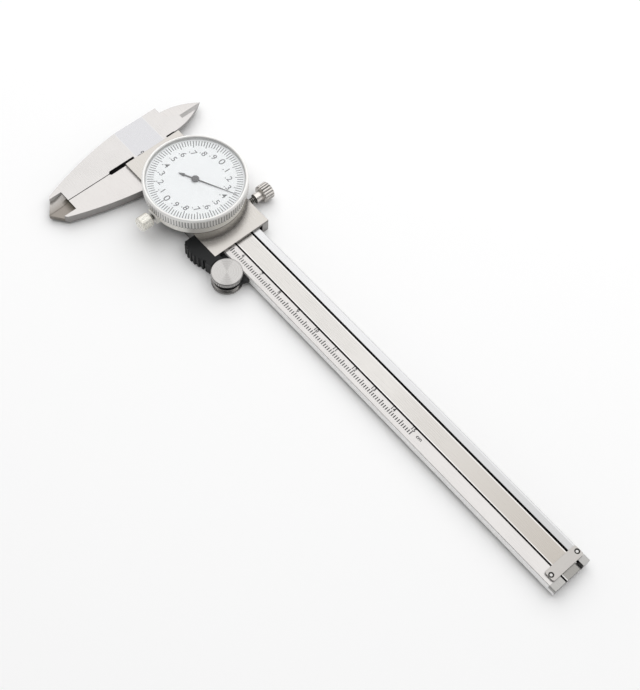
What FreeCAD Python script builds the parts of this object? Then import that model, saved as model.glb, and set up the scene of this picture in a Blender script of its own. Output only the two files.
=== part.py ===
"""Dial caliper, 150 mm, with a covered rack: one document, one object per physical piece.

Millimetres. X runs along the beam from the jaws to the free end, Y from the outside jaws to the
inside jaws, Z out of the graduated face. X = 0 is the line where the outside jaws meet, Y = 0 is
the middle of the beam, and Z = 0 is the back of the slider, on which the caliper lies.
"""
import FreeCAD, Part
import math
import os
import re

import Sketcher
from FreeCAD import Placement, Rotation, Vector

# Driving sizes: name, value, what it is
SIZES = [
    ("run_gap", 0.08, "running clearance between pieces that slide"),
    ("shut_gap", 0.04, "gap left between the measuring faces of closed jaws"),
    ("back_wall", 1.2, "thickness of the slider's back"),
    ("beam_thick", 3.6, "thickness of the beam and jaws"),
    ("beam_half", 8.25, "half the width of the beam"),
    ("beam_end", 220.3, "jaw line to the end of the beam"),
    ("edge_break", 0.25, "bevel along the long edges of the beam"),
    ("head_end", 14.0, "jaw line to the end of the head"),
    ("head_foot", 7.2, "middle of the beam to where the jaw begins to slant"),
    ("jaw_reach", 47.0, "middle of the beam to the tips of the outside jaws"),
    ("jaw_corner_x", 5.9, "jaw line to the corner beside a tip"),
    ("jaw_corner_y", 42.6, "middle of the beam to the corner beside a tip"),
    ("jaw_bow", 150.0, "radius of the slanted outer edge of a jaw"),
    ("relief_left", 1.0, "width of the relief slot in the fixed jaw"),
    ("relief_right", 0.8, "jaw line to the left end of the slider"),
    ("relief_foot", 19.8, "middle of the beam to where the measuring faces begin"),
    ("relief_bite", 0.45, "depth of the relief slot in the edge of the beam"),
    ("thin_half", 4.75, "half the width of the thinned tips"),
    ("thin_start", 38.2, "middle of the beam to where the tips begin to thin"),
    ("thin_depth", 1.8, "depth of the thinning"),
    ("thin_wall", 0.8, "height of the step where the thinning begins"),
    ("thin_run", 5.0, "length of the hollow grinding before the flat"),
    ("jaw_break", 0.12, "bevel of the front edges of the measuring faces"),
    ("horn_line", 6.5, "jaw line to the measuring line of the inside jaws"),
    ("horn_reach", 28.6, "middle of the beam to the tips of the inside jaws"),
    ("horn_half", 6.0, "width of an inside jaw at its root"),
    ("horn_bow", 27.0, "radius of the outer edge of an inside jaw"),
    ("horn_foot", 17.8, "middle of the beam to where the knife edges begin"),
    ("horn_step", 2.1, "width of the step below a knife edge"),
    ("horn_bevel", 2.8, "width of the bevel of a knife edge"),
    ("horn_land", 0.2, "flat left along a knife edge"),
    ("channel_low", 3.0, "middle of the beam to the lower wall of the channel"),
    ("channel_high", 5.1, "middle of the beam to the upper wall of the channel"),
    ("channel_depth", 2.6, "depth of the channel"),
    ("channel_start", 3.0, "jaw line to the start of the channel"),
    ("blade_low_gap", 0.35, "gap along the lower edge of the depth blade"),
    ("blade_high_gap", 0.5, "gap along the upper edge of the depth blade"),
    ("blade_thick", 1.5, "thickness of the depth blade"),
    ("blade_sunk", 0.25, "face of the depth blade below the face of the beam"),
    ("blade_start", 5.0, "jaw line to the hidden end of the depth blade"),
    ("blade_pad", 10.0, "length of the pad that carries the depth blade"),
    ("blade_nose", 2.3, "length of the narrow nose of the depth blade"),
    ("blade_step", 1.0, "how much narrower the nose is"),
    ("travel", 150.0, "travel of the slider"),
    ("rack_pitch", 1.0, "pitch of the rack"),
    ("rack_line", 3.3, "middle of the beam to the pitch line of the rack"),
    ("rack_thick", 0.7, "thickness of the rack"),
    ("rack_spare", 5.0, "rack left beyond the pinion at each end"),
    ("teeth_rack_pinion", 12.0, "teeth of the pinion on the rack"),
    ("teeth_wheel", 72.0, "teeth of the transfer wheel"),
    ("teeth_centre", 12.0, "teeth of the centre pinion"),
    ("wheel_room", 1.6, "tips of the transfer wheel to the wall of the dial housing"),
    ("wheel_thick", 0.6, "thickness of the transfer wheel"),
    ("flank_angle", 25.0, "pressure angle of all the teeth, in degrees"),
    ("tooth_play", 0.05, "play between teeth in mesh, along the pitch circle"),
    ("arbor_fit", 0.04, "radial clearance of the arbors in their bushes"),
    ("arbor_radius", 0.6, "radius of the transfer arbor"),
    ("centre_radius", 0.5, "radius of the centre arbor"),
    ("slider_end", 54.0, "jaw line to the right end of the slider"),
    ("slider_wall", 2.75, "thickness of the slider's upper wall"),
    ("gib_room", 1.5, "edge of the beam to the upper wall of the slider"),
    ("gib_thick", 1.3, "thickness of the gib"),
    ("gib_inset", 1.2, "gib short of the slider at each end"),
    ("plate_thick", 1.12, "thickness of the front plate"),
    ("dial_x", 27.4, "jaw line to the middle of the dial"),
    ("case_radius", 18.5, "radius of the dial housing"),
    ("case_wall", 1.1, "wall of the dial housing"),
    ("case_floor", 0.6, "floor of the dial housing"),
    ("case_height", 4.2, "height of the dial housing that shows"),
    ("spigot_height", 2.2, "height of the rim on which the bezel turns"),
    ("spigot_wall", 0.8, "wall of that rim"),
    ("bezel_overhang", 1.05, "bezel beyond the dial housing"),
    ("bezel_height", 4.8, "height of the bezel"),
    ("bezel_lift", 0.1, "gap under the bezel"),
    ("bezel_lip", 1.35, "width of the bezel's face"),
    ("bezel_band", 0.5, "smooth band above the knurling"),
    ("knurl_count", 110.0, "grooves of the bezel's knurling"),
    ("knurl_depth", 0.28, "depth of the bezel's knurling"),
    ("face_thick", 0.4, "thickness of the dial face"),
    ("face_sunk", 1.45, "top of the dial face below the top of the bezel"),
    ("crystal_thick", 0.6, "thickness of the crystal"),
    ("crystal_sunk", 0.1, "rim of the crystal below the top of the bezel"),
    ("needle_room", 1.7, "tip of the needle to the bezel"),
    ("needle_tail", 6.8, "length of the needle's tail"),
    ("needle_thick", 0.15, "thickness of the needle"),
    ("needle_lift", 0.2, "needle above the dial face"),
    ("needle_turn", 63.7, "turn of the resting needle from the top of the dial, clockwise, degrees"),
    ("hub_radius", 1.45, "radius of the needle's hub"),
    ("bridge_thick", 0.7, "thickness of the movement's bridge"),
    ("bridge_height", 2.6, "height of the bridge's pillars"),
    ("pillar_radius", 1.4, "radius of a pillar"),
    ("case_screw_share", 0.4, "case screws' distance from the dial's middle line, as a share of the housing"),
    ("screw_radius", 0.8, "radius of the small screws"),
    ("screw_head", 1.4, "radius of the small screws' heads"),
    ("screw_head_height", 0.7, "height of the small screws' heads"),
    ("roller_x", 61.9, "jaw line to the axis of the thumb roller"),
    ("roller_radius", 5.85, "radius of the thumb roller's discs"),
    ("roller_neck", 5.2, "radius on which the roller runs along the beam"),
    ("roller_disc", 1.7, "thickness of the upper disc of the roller"),
    ("roller_rise", 0.6, "top of the roller above the front plate"),
    ("roller_axle", 2.0, "radius of the roller's axle"),
    ("arm_thick", 1.5, "thickness of the thumb rest's arm"),
    ("arm_reach", 6.4, "axis of the roller to the end of the arm"),
    ("arm_nose", 0.5, "depth of the arm at its end"),
    ("rest_start", 41.9, "jaw line to the left end of the thumb rest"),
    ("rest_crown", 10.0, "length of the thumb rest's crown"),
    ("rest_bow", 12.4, "radius of the thumb rest's crown"),
    ("rest_left_depth", 17.3, "middle of the beam to the thumb rest's left corner"),
    ("rest_sunk", 0.2, "thumb rest below the slider's face and above its back"),
    ("rest_screw_depth", 2.4, "depth of the thumb rest's screws in the thumb rest"),
    ("rib_count", 7.0, "grooves of the thumb rest"),
    ("rib_pitch", 1.9, "distance between the grooves"),
    ("rib_radius", 0.58, "radius of a groove of the thumb rest"),
    ("rib_shift", 0.8, "middle of the crown to the middle groove"),
    ("lock_x", 42.3, "jaw line to the axis of the lock screw"),
    ("lock_thread", 1.2, "radius of the lock screw's thread"),
    ("lock_collar", 1.9, "radius of the lock screw's collar"),
    ("lock_head", 3.4, "radius of the lock screw's head"),
    ("lock_neck_start", 3.2, "slider's edge to the lock screw's collar"),
    ("lock_collar_length", 2.8, "length of the collar"),
    ("lock_head_length", 4.4, "length of the head"),
    ("clamp_thread", 1.0, "radius of the bezel clamp screw's thread"),
    ("clamp_show", 1.2, "thread of the clamp screw that shows"),
    ("clamp_head", 2.8, "radius of the bezel clamp screw's head"),
    ("clamp_head_length", 4.8, "length of that head"),
    ("lug_half", 2.4, "half the width of the clamp's lug"),
    ("lug_reach", 1.6, "dial housing to the outer face of the lug"),
    ("stop_start", 213.5, "jaw line to the stop plate"),
    ("stop_width", 4.2, "width of the stop plate, along the beam"),
    ("stop_middle", 0.75, "middle of the beam to the middle of the stop plate"),
    ("stop_half", 7.15, "half the length of the stop plate"),
    ("stop_thick", 0.8, "thickness of the stop plate"),
    ("stop_screw_half", 6.1, "middle of the stop plate to its screws"),
    ("stop_screw_radius", 0.75, "radius of the stop plate's screws"),
]

# Places that follow from the driving sizes
PLACES = {
    "beam_low": "back_wall + run_gap",
    "beam_top": "beam_low + beam_thick",
    "beam_middle": "beam_low + beam_thick / 2",
    "frame_top": "beam_top + run_gap",
    "plate_top": "frame_top + plate_thick",
    "channel_floor": "beam_top - channel_depth",
    "blade_top": "beam_top - blade_sunk",
    "blade_low": "blade_top - blade_thick",
    "wall_high": "beam_half + gib_room",
    "wall_low": "beam_half + run_gap",
    "slider_half": "wall_high + slider_wall",
    "head_top": "slider_half",
    "case_screw_y": "slider_half - slider_wall / 2",
    "case_screw_x": "case_radius * case_screw_share",
    "wheel_module": "(case_radius - case_wall - wheel_room) / (teeth_wheel + teeth_centre / 2 + 1)",
    "bezel_radius": "case_radius + bezel_overhang",
    "needle_reach": "bezel_bore - needle_room",
    "rack_radius": "rack_pitch * teeth_rack_pinion / (2 * pi)",
    "centre_distance": "wheel_module * (teeth_wheel + teeth_centre) / 2",
    "pinion_y": "rack_line - rack_radius",
    "pinion_x": "dial_x - sqrt(centre_distance ^ 2 - pinion_y ^ 2)",
    "case_top": "plate_top + case_height",
    "spigot_top": "case_top + spigot_height",
    "spigot_radius": "bezel_radius - bezel_lip - run_gap",
    "bezel_low": "case_top + bezel_lift",
    "bezel_top": "bezel_low + bezel_height",
    "bezel_bore": "bezel_radius - bezel_lip",
    "face_top": "bezel_top - face_sunk",
    "face_low": "face_top - face_thick",
    "needle_low": "face_top + needle_lift",
    "crystal_top": "bezel_top - crystal_sunk",
    "crystal_low": "crystal_top - crystal_thick",
    "floor_top": "plate_top + case_floor",
    "bridge_low": "floor_top + bridge_height",
    "bridge_top": "bridge_low + bridge_thick",
    "roller_y": "beam_half + run_gap + roller_neck",
    "roller_top": "plate_top + roller_rise",
    "disc_low": "roller_top - roller_disc",
    "arm_low": "beam_middle - arm_thick / 2",
    "arm_top": "beam_middle + arm_thick / 2",
    "rest_top": "plate_top - rest_sunk",
    "rest_wall": "slider_half",
    "lock_z": "lock_head + run_gap",
    "blade_screw_x": "blade_start + 0.75 * blade_pad",
    "rest_screw_low": "rest_wall + rest_screw_depth",
    "clamp_z": "plate_top + case_height * 0.54",
    "lug_face": "case_radius + lug_reach",
    "horn_slope": "horn_line + horn_step",
    "horn_root": "horn_line - horn_half",
    "horn_far": "horn_line + horn_half",
}

NAMES = [name for name, value, note in SIZES]
TURN = 360.0

doc = FreeCAD.newDocument("dial_caliper")
sheet = doc.addObject("Spreadsheet::Sheet", "Sizes")
for row, (name, value, note) in enumerate(SIZES, start=1):
    sheet.set("A%d" % row, note)
    sheet.set("B%d" % row, str(value))
    sheet.setAlias("B%d" % row, name)
doc.recompute()


def formula(text):
    """Writes a formula of sizes and places out in the sheet's own cells."""

    def word(match):
        name = match.group(0)
        if name in PLACES:
            return "(" + formula(PLACES[name]) + ")"
        if name in NAMES:
            return "Sizes." + name
        return name

    return re.sub(r"[A-Za-z_]\w*", word, str(text))


def size(text):
    """Gives the value of a formula in millimetres or as a plain number."""
    return float(sheet.evalExpression(formula(text)))


def new_body(name, x="0", y="0", z="0", turn=None):
    """Starts a sub-part whose own origin lies at x, y, z."""
    body = doc.addObject("PartDesign::Body", name)
    body.Label = name
    if turn:
        body.Placement = Placement(Vector(), turn)
    for axis, text in zip("xyz", (x, y, z)):
        body.setExpression("Placement.Base." + axis, formula(text))
    return body


def new_sketch(body, plane, lift):
    """Attaches an empty sketch to one of the body's own planes, lifted along its normal."""
    sketch = body.newObject("Sketcher::SketchObject", body.Name + "_sketch")
    base = [part for part in body.Origin.OriginFeatures if part.Role == plane][0]
    sketch.AttachmentSupport = [(base, "")]
    sketch.MapMode = "FlatFace"
    sketch.setExpression("AttachmentOffset.Base.z", formula(lift))
    return sketch


def arc_between(start, end, radius):
    """Gives the arc of a signed radius from start to end: plus turns left, minus turns right."""
    chord = end - start
    reach = abs(radius)
    offset = math.sqrt(max(reach ** 2 - (chord.Length / 2) ** 2, 0.0))
    side = Vector(-chord.y, chord.x, 0).normalize()
    if radius < 0:
        side = side * -1
    centre = (start + end) / 2 + side * offset
    first, last = (start, end) if radius > 0 else (end, start)
    angles = [math.atan2(point.y - centre.y, point.x - centre.x) for point in (first, last)]
    circle = Part.Circle(centre, Vector(0, 0, 1), reach)
    return Part.ArcOfCircle(circle, angles[0], angles[1])


def draw(sketch, corners):
    """Draws one closed outline. A corner is (x, y), or (x, y, radius) where an arc leaves it."""
    spots = [Vector(size(corner[0]), size(corner[1]), 0) for corner in corners]
    heads = []
    tails = []
    for index, corner in enumerate(corners):
        start, end = spots[index], spots[(index + 1) % len(spots)]
        if len(corner) == 2:
            edge = sketch.addGeometry(Part.LineSegment(start, end), False)
            heads.append((edge, 1))
            tails.append((edge, 2))
            continue
        radius = size(corner[2])
        edge = sketch.addGeometry(arc_between(start, end, radius), False)
        heads.append((edge, 1 if radius > 0 else 2))
        tails.append((edge, 2 if radius > 0 else 1))
    for index, tail in enumerate(tails):
        head = heads[(index + 1) % len(heads)]
        sketch.addConstraint(Sketcher.Constraint("Coincident", tail[0], tail[1], head[0], head[1]))
    for index, corner in enumerate(corners):
        edge, end = heads[index]
        bind(sketch, Sketcher.Constraint("DistanceX", edge, end, spots[index].x), corner[0])
        bind(sketch, Sketcher.Constraint("DistanceY", edge, end, spots[index].y), corner[1])
        if len(corner) == 3:
            radius = size(corner[2])
            bind(sketch, Sketcher.Constraint("Radius", edge, abs(radius)), "abs(%s)" % corner[2])


def draw_circle(sketch, x, y, radius):
    """Draws a circle."""
    centre = Vector(size(x), size(y), 0)
    edge = sketch.addGeometry(Part.Circle(centre, Vector(0, 0, 1), size(radius)), False)
    bind(sketch, Sketcher.Constraint("DistanceX", edge, 3, centre.x), x)
    bind(sketch, Sketcher.Constraint("DistanceY", edge, 3, centre.y), y)
    bind(sketch, Sketcher.Constraint("Radius", edge, size(radius)), radius)


def bind(sketch, constraint, text):
    """Adds a constraint that follows a formula."""
    index = sketch.addConstraint(constraint)
    sketch.setExpression("Constraints[%d]" % index, formula(text))


def pad(body, corners, low, high, circles=(), plane="XY_Plane"):
    """Raises an outline, with round holes, from low to high along the plane's normal."""
    sketch = new_sketch(body, plane, low)
    if corners:
        draw(sketch, corners)
    for circle in circles:
        draw_circle(sketch, *circle)
    feature = body.newObject("PartDesign::Pad", body.Name + "_pad")
    feature.Profile = sketch
    feature.setExpression("Length", formula("(%s) - (%s)" % (high, low)))
    return feature


def pocket(body, corners, high, low, circles=(), plane="XY_Plane"):
    """Cuts an outline, or round holes, from high down to low against the plane's normal."""
    sketch = new_sketch(body, plane, high)
    if corners:
        draw(sketch, corners)
    for circle in circles:
        draw_circle(sketch, *circle)
    feature = body.newObject("PartDesign::Pocket", body.Name + "_pocket")
    feature.Profile = sketch
    feature.setExpression("Length", formula("(%s) - (%s)" % (high, low)))
    return feature


def turned(body, corners):
    """Turns a profile of (radius, height) corners about the body's own Z axis."""
    sketch = new_sketch(body, "XZ_Plane", "0")
    draw(sketch, corners)
    feature = body.newObject("PartDesign::Revolution", body.Name + "_turned")
    feature.Profile = sketch
    feature.ReferenceAxis = (sketch, ["V_Axis"])
    feature.Angle = TURN
    return feature


def bevel(body, keep, width):
    """Bevels the edges of the body's tip for which keep(edge) is true."""
    doc.recompute()
    before = body.Tip
    names = ["Edge%d" % (number + 1) for number, edge in enumerate(before.Shape.Edges) if keep(edge)]
    feature = body.newObject("PartDesign::Chamfer", body.Name + "_bevel")
    feature.Base = (before, names)
    feature.setExpression("Size", formula(width))
    return feature


def solid(name, shape):
    """Keeps a shape made from the sheet's sizes as a sub-part."""
    feature = doc.addObject("Part::Feature", name)
    feature.Label = name
    feature.Shape = shape
    return feature


def involute_teeth(count, module, play):
    """Gives the outline of a gear about its centre, with a tooth on the +X axis.

    The flanks are involutes drawn through a few points, and the play comes off both flanks.
    """
    pitch = module * count / 2
    base = pitch * math.cos(math.radians(size("flank_angle")))
    tip = pitch + module
    root = pitch - 1.2 * module
    roll = math.tan(math.radians(size("flank_angle"))) - math.radians(size("flank_angle"))
    half = math.pi / (2 * count) - play / (2 * pitch)
    flank = []
    lowest = max(base, root)
    for step in range(3):
        radius = lowest + (tip - lowest) * step / 2
        lean = math.acos(min(base / radius, 1.0))
        flank.append((radius, half + roll - (math.tan(lean) - lean)))
    corners = []
    for tooth in range(int(count)):
        middle = 2 * math.pi * tooth / count
        if root < lowest:
            corners.append(polar(root, middle - flank[0][1]))
        corners += [polar(radius, middle - angle) for radius, angle in flank]
        corners += [polar(radius, middle + angle) for radius, angle in reversed(flank)]
        if root < lowest:
            corners.append(polar(root, middle + flank[0][1]))
    return corners


def polar(radius, angle):
    """Gives a point of the XY plane."""
    return Vector(radius * math.cos(angle), radius * math.sin(angle), 0)


def plate_of(corners, low, high):
    """Raises a closed polygon from low to high."""
    loop = Part.makePolygon([Vector(point.x, point.y, low) for point in corners + corners[:1]])
    return Part.Face(loop).extrude(Vector(0, 0, high - low))


# Beam with the fixed jaws
def make_beam():
    """Beam, head, fixed outside jaw, the front half of the inside jaws and the channel."""
    body = new_body("beam")
    pad(
        body,
        [
            ("-head_end", "head_top"),
            ("-head_end", "-head_foot", "jaw_bow"),
            ("-jaw_corner_x", "-jaw_corner_y"),
            ("-shut_gap / 2", "-jaw_reach"),
            ("-shut_gap / 2", "-relief_foot"),
            ("-relief_left", "-relief_foot + relief_left"),
            ("-relief_left", "-beam_half + relief_bite"),
            ("relief_right / 2", "-beam_half + relief_bite"),
            ("relief_right / 2", "-beam_half"),
            ("beam_end", "-beam_half"),
            ("beam_end", "beam_half"),
            ("relief_right / 2", "beam_half"),
            ("relief_right / 2", "beam_half - relief_bite"),
            ("-horn_root", "beam_half - relief_bite"),
            ("-horn_root", "beam_half"),
            ("-horn_far - 2 * run_gap", "beam_half"),
            ("-horn_far - 2 * run_gap", "head_top"),
        ],
        "beam_low",
        "beam_top",
    )
    pad(
        body,
        [
            ("-horn_far - 2 * run_gap", "beam_half"),
            ("-horn_root", "beam_half"),
            ("-horn_root", "head_top", "horn_bow"),
            ("-horn_line + shut_gap / 2", "horn_reach"),
            ("-horn_line + shut_gap / 2", "head_top + 1.6 * horn_step"),
            ("-horn_slope", "head_top"),
            ("-horn_far - 2 * run_gap", "head_top"),
        ],
        "beam_middle + run_gap / 2",
        "beam_top",
    )
    # Knife edge: the bevel falls from the face to the measuring line
    pocket(
        body,
        [
            ("-horn_line - horn_step", "beam_middle + run_gap / 2 + horn_land"),
            ("-horn_line + shut_gap / 2", "beam_middle + run_gap / 2 + horn_land"),
            ("-horn_line + horn_bevel", "beam_top"),
            ("-horn_line + horn_bevel", "beam_top + horn_land"),
            ("-horn_line - horn_step", "beam_top + horn_land"),
        ],
        "-horn_foot",
        "-horn_reach - horn_step",
        plane="XZ_Plane",
    )
    thin_tip(body, "-thin_half", "0")
    pocket(
        body,
        [
            ("channel_start", "-channel_low"),
            ("beam_end + run_gap", "-channel_low"),
            ("beam_end + run_gap", "channel_high"),
            ("channel_start", "channel_high"),
        ],
        "beam_top",
        "channel_floor",
    )
    holes = [("stop_start + stop_width / 2", "stop_middle + %d * stop_screw_half" % side, "stop_screw_radius")
             for side in (-1, 1)]
    pocket(body, None, "beam_top", "beam_low + back_wall", circles=holes)
    edge_length = size("beam_end") / 2
    bevel(body, lambda edge: is_long_edge(edge, edge_length), "edge_break")
    bevel(body, lambda edge: is_jaw_edge(edge, -size("shut_gap") / 2), "jaw_break")
    return body


def is_long_edge(edge, length):
    """Tells whether an edge is one of the four long outer edges of the beam."""
    middle = edge.BoundBox.Center
    return edge.Length > length and abs(abs(middle.y) - size("beam_half")) < 0.01


def is_jaw_edge(edge, x):
    """Tells whether an edge is the front edge of the measuring face that lies at x."""
    middle = edge.BoundBox.Center
    at_face = abs(middle.x - x) < 0.01 and abs(middle.z - size("beam_top")) < 0.01
    return at_face and edge.Length > size("thin_start - relief_foot") / 2


def thin_tip(body, left, right):
    """Hollow-grinds the front of an outside jaw's tip, with a round run-out."""
    pocket(
        body,
        [
            ("-thin_start", "beam_top - thin_wall"),
            ("-thin_start", "beam_top + run_gap"),
            ("-jaw_reach - thin_run", "beam_top + run_gap"),
            ("-jaw_reach - thin_run", "beam_top - thin_depth"),
            ("-thin_start - thin_run", "beam_top - thin_depth",
             "(thin_run ^ 2 + (thin_depth - thin_wall) ^ 2) / (2 * (thin_depth - thin_wall))"),
        ],
        right,
        left,
        plane="YZ_Plane",
    )


def make_rack():
    """Rack in the floor of the channel, its teeth towards the outside jaws."""
    pitch = size("rack_pitch")
    module = pitch / math.pi
    slope = math.tan(math.radians(size("flank_angle")))
    line = size("rack_line")
    half = pitch / 4 - size("tooth_play") / 4
    tip = line - module
    root = line + 1.2 * module
    start = size("pinion_x")
    first = -math.ceil(size("rack_spare") / pitch)
    last = math.ceil((size("travel") + size("rack_spare")) / pitch)
    corners = []
    for tooth in range(first, last + 1):
        middle = start + pitch * (tooth + 0.5)
        corners.append(Vector(middle - half - slope * (root - line), root, 0))
        corners.append(Vector(middle - half + slope * (line - tip), tip, 0))
        corners.append(Vector(middle + half - slope * (line - tip), tip, 0))
        corners.append(Vector(middle + half + slope * (root - line), root, 0))
    corners.append(Vector(corners[-1].x, size("channel_high"), 0))
    corners.append(Vector(corners[0].x, size("channel_high"), 0))
    low = size("channel_floor")
    return solid("rack", plate_of(corners, low, low + size("rack_thick")))


def make_stop():
    """Stop plate across the end of the channel, with its two screws."""
    left = "stop_start"
    right = "stop_start + stop_width"
    low = "stop_middle - stop_half"
    high = "stop_middle + stop_half"
    body = new_body("stop_plate")
    corner = "stop_width / 5"
    holes = [("stop_start + stop_width / 2", "stop_middle + %d * stop_screw_half" % side, "stop_screw_radius")
             for side in (-1, 1)]
    pad(
        body,
        [
            (left, "%s + %s" % (low, corner), corner),
            ("%s + %s" % (left, corner), low),
            ("%s - %s" % (right, corner), low, corner),
            (right, "%s + %s" % (low, corner)),
            (right, "%s - %s" % (high, corner), corner),
            ("%s - %s" % (right, corner), high),
            ("%s + %s" % (left, corner), high, corner),
            (left, "%s - %s" % (high, corner)),
        ],
        "beam_top",
        "beam_top + stop_thick",
        circles=holes,
    )
    made = [body]
    for number, side in enumerate((-1, 1), start=1):
        screw = new_body(
            "stop_screw_%d" % number,
            "stop_start + stop_width / 2",
            "stop_middle + %d * stop_screw_half" % side,
            "beam_low + back_wall",
        )
        top = "beam_top + stop_thick - beam_low - back_wall"
        turned(screw, [("0", "0"), ("stop_screw_radius", "0"), ("stop_screw_radius", top + " - run_gap * 2"),
                       ("0", top + " - run_gap * 2")])
        made.append(screw)
    return made


# Slider: frame with the sliding jaws
def make_slider_frame():
    """Back, two walls, sliding outside jaw and the back half of the inside jaws."""
    body = new_body("slider_frame")
    pad(
        body,
        [
            ("relief_right", "-slider_half"),
            ("slider_end", "-slider_half"),
            ("slider_end", "slider_half"),
            ("relief_right", "slider_half"),
        ],
        "0",
        "back_wall",
    )
    pad(
        body,
        [
            ("relief_right", "-slider_half"),
            ("slider_end", "-slider_half"),
            ("slider_end", "-wall_low"),
            ("relief_right", "-wall_low"),
        ],
        "back_wall",
        "frame_top",
    )
    pad(
        body,
        [
            ("relief_right", "wall_high"),
            ("slider_end", "wall_high"),
            ("slider_end", "slider_half"),
            ("relief_right", "slider_half"),
        ],
        "back_wall",
        "frame_top",
    )
    pad(
        body,
        [
            ("relief_right", "-slider_half"),
            ("relief_right", "-relief_foot + relief_right"),
            ("shut_gap / 2", "-relief_foot"),
            ("shut_gap / 2", "-jaw_reach"),
            ("jaw_corner_x", "-jaw_corner_y", "jaw_bow"),
            ("head_end", "-slider_half"),
        ],
        "beam_low",
        "beam_top",
    )
    pad(
        body,
        [
            ("relief_right + gib_inset", "wall_low"),
            ("relief_right + gib_inset", "head_top"),
            ("-2 * horn_line + horn_slope", "head_top"),
            ("-horn_line - shut_gap / 2", "head_top + 1.6 * horn_step"),
            ("-horn_line - shut_gap / 2", "horn_reach", "horn_bow"),
            ("-horn_far", "head_top"),
            ("-horn_far", "wall_low"),
        ],
        "beam_low",
        "beam_middle - run_gap / 2",
    )
    # Knife edge: the bevel falls from the back to the measuring line
    pocket(
        body,
        [
            ("-horn_line + horn_step", "beam_middle - run_gap / 2 - horn_land"),
            ("-horn_line - shut_gap / 2", "beam_middle - run_gap / 2 - horn_land"),
            ("-horn_line - horn_bevel", "beam_low"),
            ("-horn_line - horn_bevel", "beam_low - horn_land"),
            ("-horn_line + horn_step", "beam_low - horn_land"),
        ],
        "-horn_foot",
        "-horn_reach - horn_step",
        plane="XZ_Plane",
    )
    thin_tip(body, "0", "thin_half")
    # Screw holes of the lock screw and the gib screws, along Y through the upper wall
    bevel(body, lambda edge: is_jaw_edge(edge, size("shut_gap") / 2), "jaw_break")
    bores = [("lock_x", "lock_z", "lock_thread + arbor_fit")]
    bores += [(place, "beam_middle", "screw_radius") for place in GIB_SCREWS]
    pocket(body, None, "-wall_high + run_gap", "-slider_half - run_gap", circles=bores, plane="XZ_Plane")
    holes = [(x, y, "screw_radius") for x, y in case_screws()]
    pocket(body, None, "frame_top", "back_wall", circles=holes)
    # Screws of the thumb rest, put in from inside the lower wall, with sunk heads
    shanks = [(place, "beam_middle", "screw_radius") for place in REST_SCREWS]
    pocket(body, None, "slider_half + run_gap", "wall_low - run_gap", circles=shanks, plane="XZ_Plane")
    heads = [(place, "beam_middle", "screw_head") for place in REST_SCREWS]
    pocket(body, None, "wall_low + run_gap + screw_head_height", "wall_low - run_gap", circles=heads,
           plane="XZ_Plane")
    return body


GIB_SCREWS = ["relief_right + 6 * gib_inset", "dial_x"]
REST_SCREWS = ["rest_start + 2.5", "slider_end - 3"]


def case_screws():
    """Gives the places of the four screws that hold the housing and the plate to the frame."""
    return [("dial_x + %d * case_screw_x" % along, "%d * case_screw_y" % across)
            for along in (-1, 1) for across in (-1, 1)]


def make_plate():
    """Front plate of the slider."""
    body = new_body("front_plate")
    holes = [(x, y, "screw_radius") for x, y in case_screws()]
    holes.append(("pinion_x", "pinion_y", "rack_radius + arbor_radius"))
    holes += [("blade_screw_x", y, "screw_radius") for y in BLADE_SCREWS]
    pad(
        body,
        [
            ("relief_right", "-slider_half"),
            ("slider_end", "-slider_half"),
            ("slider_end", "slider_half"),
            ("relief_right", "slider_half"),
        ],
        "frame_top",
        "plate_top",
        circles=holes,
    )
    return body


BLADE_SCREWS = ["-channel_low / 4", "channel_high / 2"]


def make_gib():
    """Brass gib between the beam and the upper wall, and its two set screws."""
    body = new_body("gib")
    pad(
        body,
        [
            ("relief_right + 2 * gib_inset", "beam_half + run_gap"),
            ("slider_end - gib_inset", "beam_half + run_gap"),
            ("slider_end - gib_inset", "beam_half + run_gap + gib_thick"),
            ("relief_right + 2 * gib_inset", "beam_half + run_gap + gib_thick"),
        ],
        "back_wall + run_gap / 2",
        "frame_top - run_gap / 2",
    )
    made = [body]
    for number, place in enumerate(GIB_SCREWS, start=1):
        screw = new_body("gib_screw_%d" % number, place, "beam_half + run_gap + gib_thick", "beam_middle",
                         Rotation(Vector(1, 0, 0), -90))
        length = "slider_half - beam_half - run_gap - gib_thick - 3 * run_gap"
        turned(screw, [("0", "0"), ("screw_radius", "0"), ("screw_radius", length), ("0", length)])
        made.append(screw)
    return made


def make_blade():
    """Depth blade that covers the rack, with its carrying pad and two screws."""
    low = "-channel_low + blade_low_gap"
    high = "channel_high - blade_high_gap"
    body = new_body("depth_blade")
    pad(
        body,
        [
            ("blade_start", low),
            ("beam_end", low),
            ("beam_end", high + " - blade_step"),
            ("beam_end - blade_nose", high + " - blade_step"),
            ("beam_end - blade_nose", high),
            ("blade_start", high),
        ],
        "blade_low",
        "blade_top",
    )
    pad(
        body,
        [
            ("blade_start", low),
            ("blade_start + blade_pad", low),
            ("blade_start + blade_pad", high),
            ("blade_start", high),
        ],
        "blade_top",
        "frame_top",
    )
    pocket(body, None, "blade_top + run_gap", "blade_low - run_gap",
           circles=[("pinion_x", "pinion_y", "rack_radius + arbor_radius")])
    pocket(body, None, "frame_top", "blade_low + run_gap",
           circles=[("blade_screw_x", y, "screw_radius") for y in BLADE_SCREWS])
    made = [body]
    for number, y in enumerate(BLADE_SCREWS, start=1):
        screw = new_body("blade_screw_%d" % number, "blade_screw_x", y, "blade_low + run_gap")
        shank = "plate_top - blade_low - 2 * run_gap"
        turned(screw, [("0", "0"), ("screw_radius", "0"), ("screw_radius", shank), ("0", shank)])
        made.append(screw)
    return made


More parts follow.
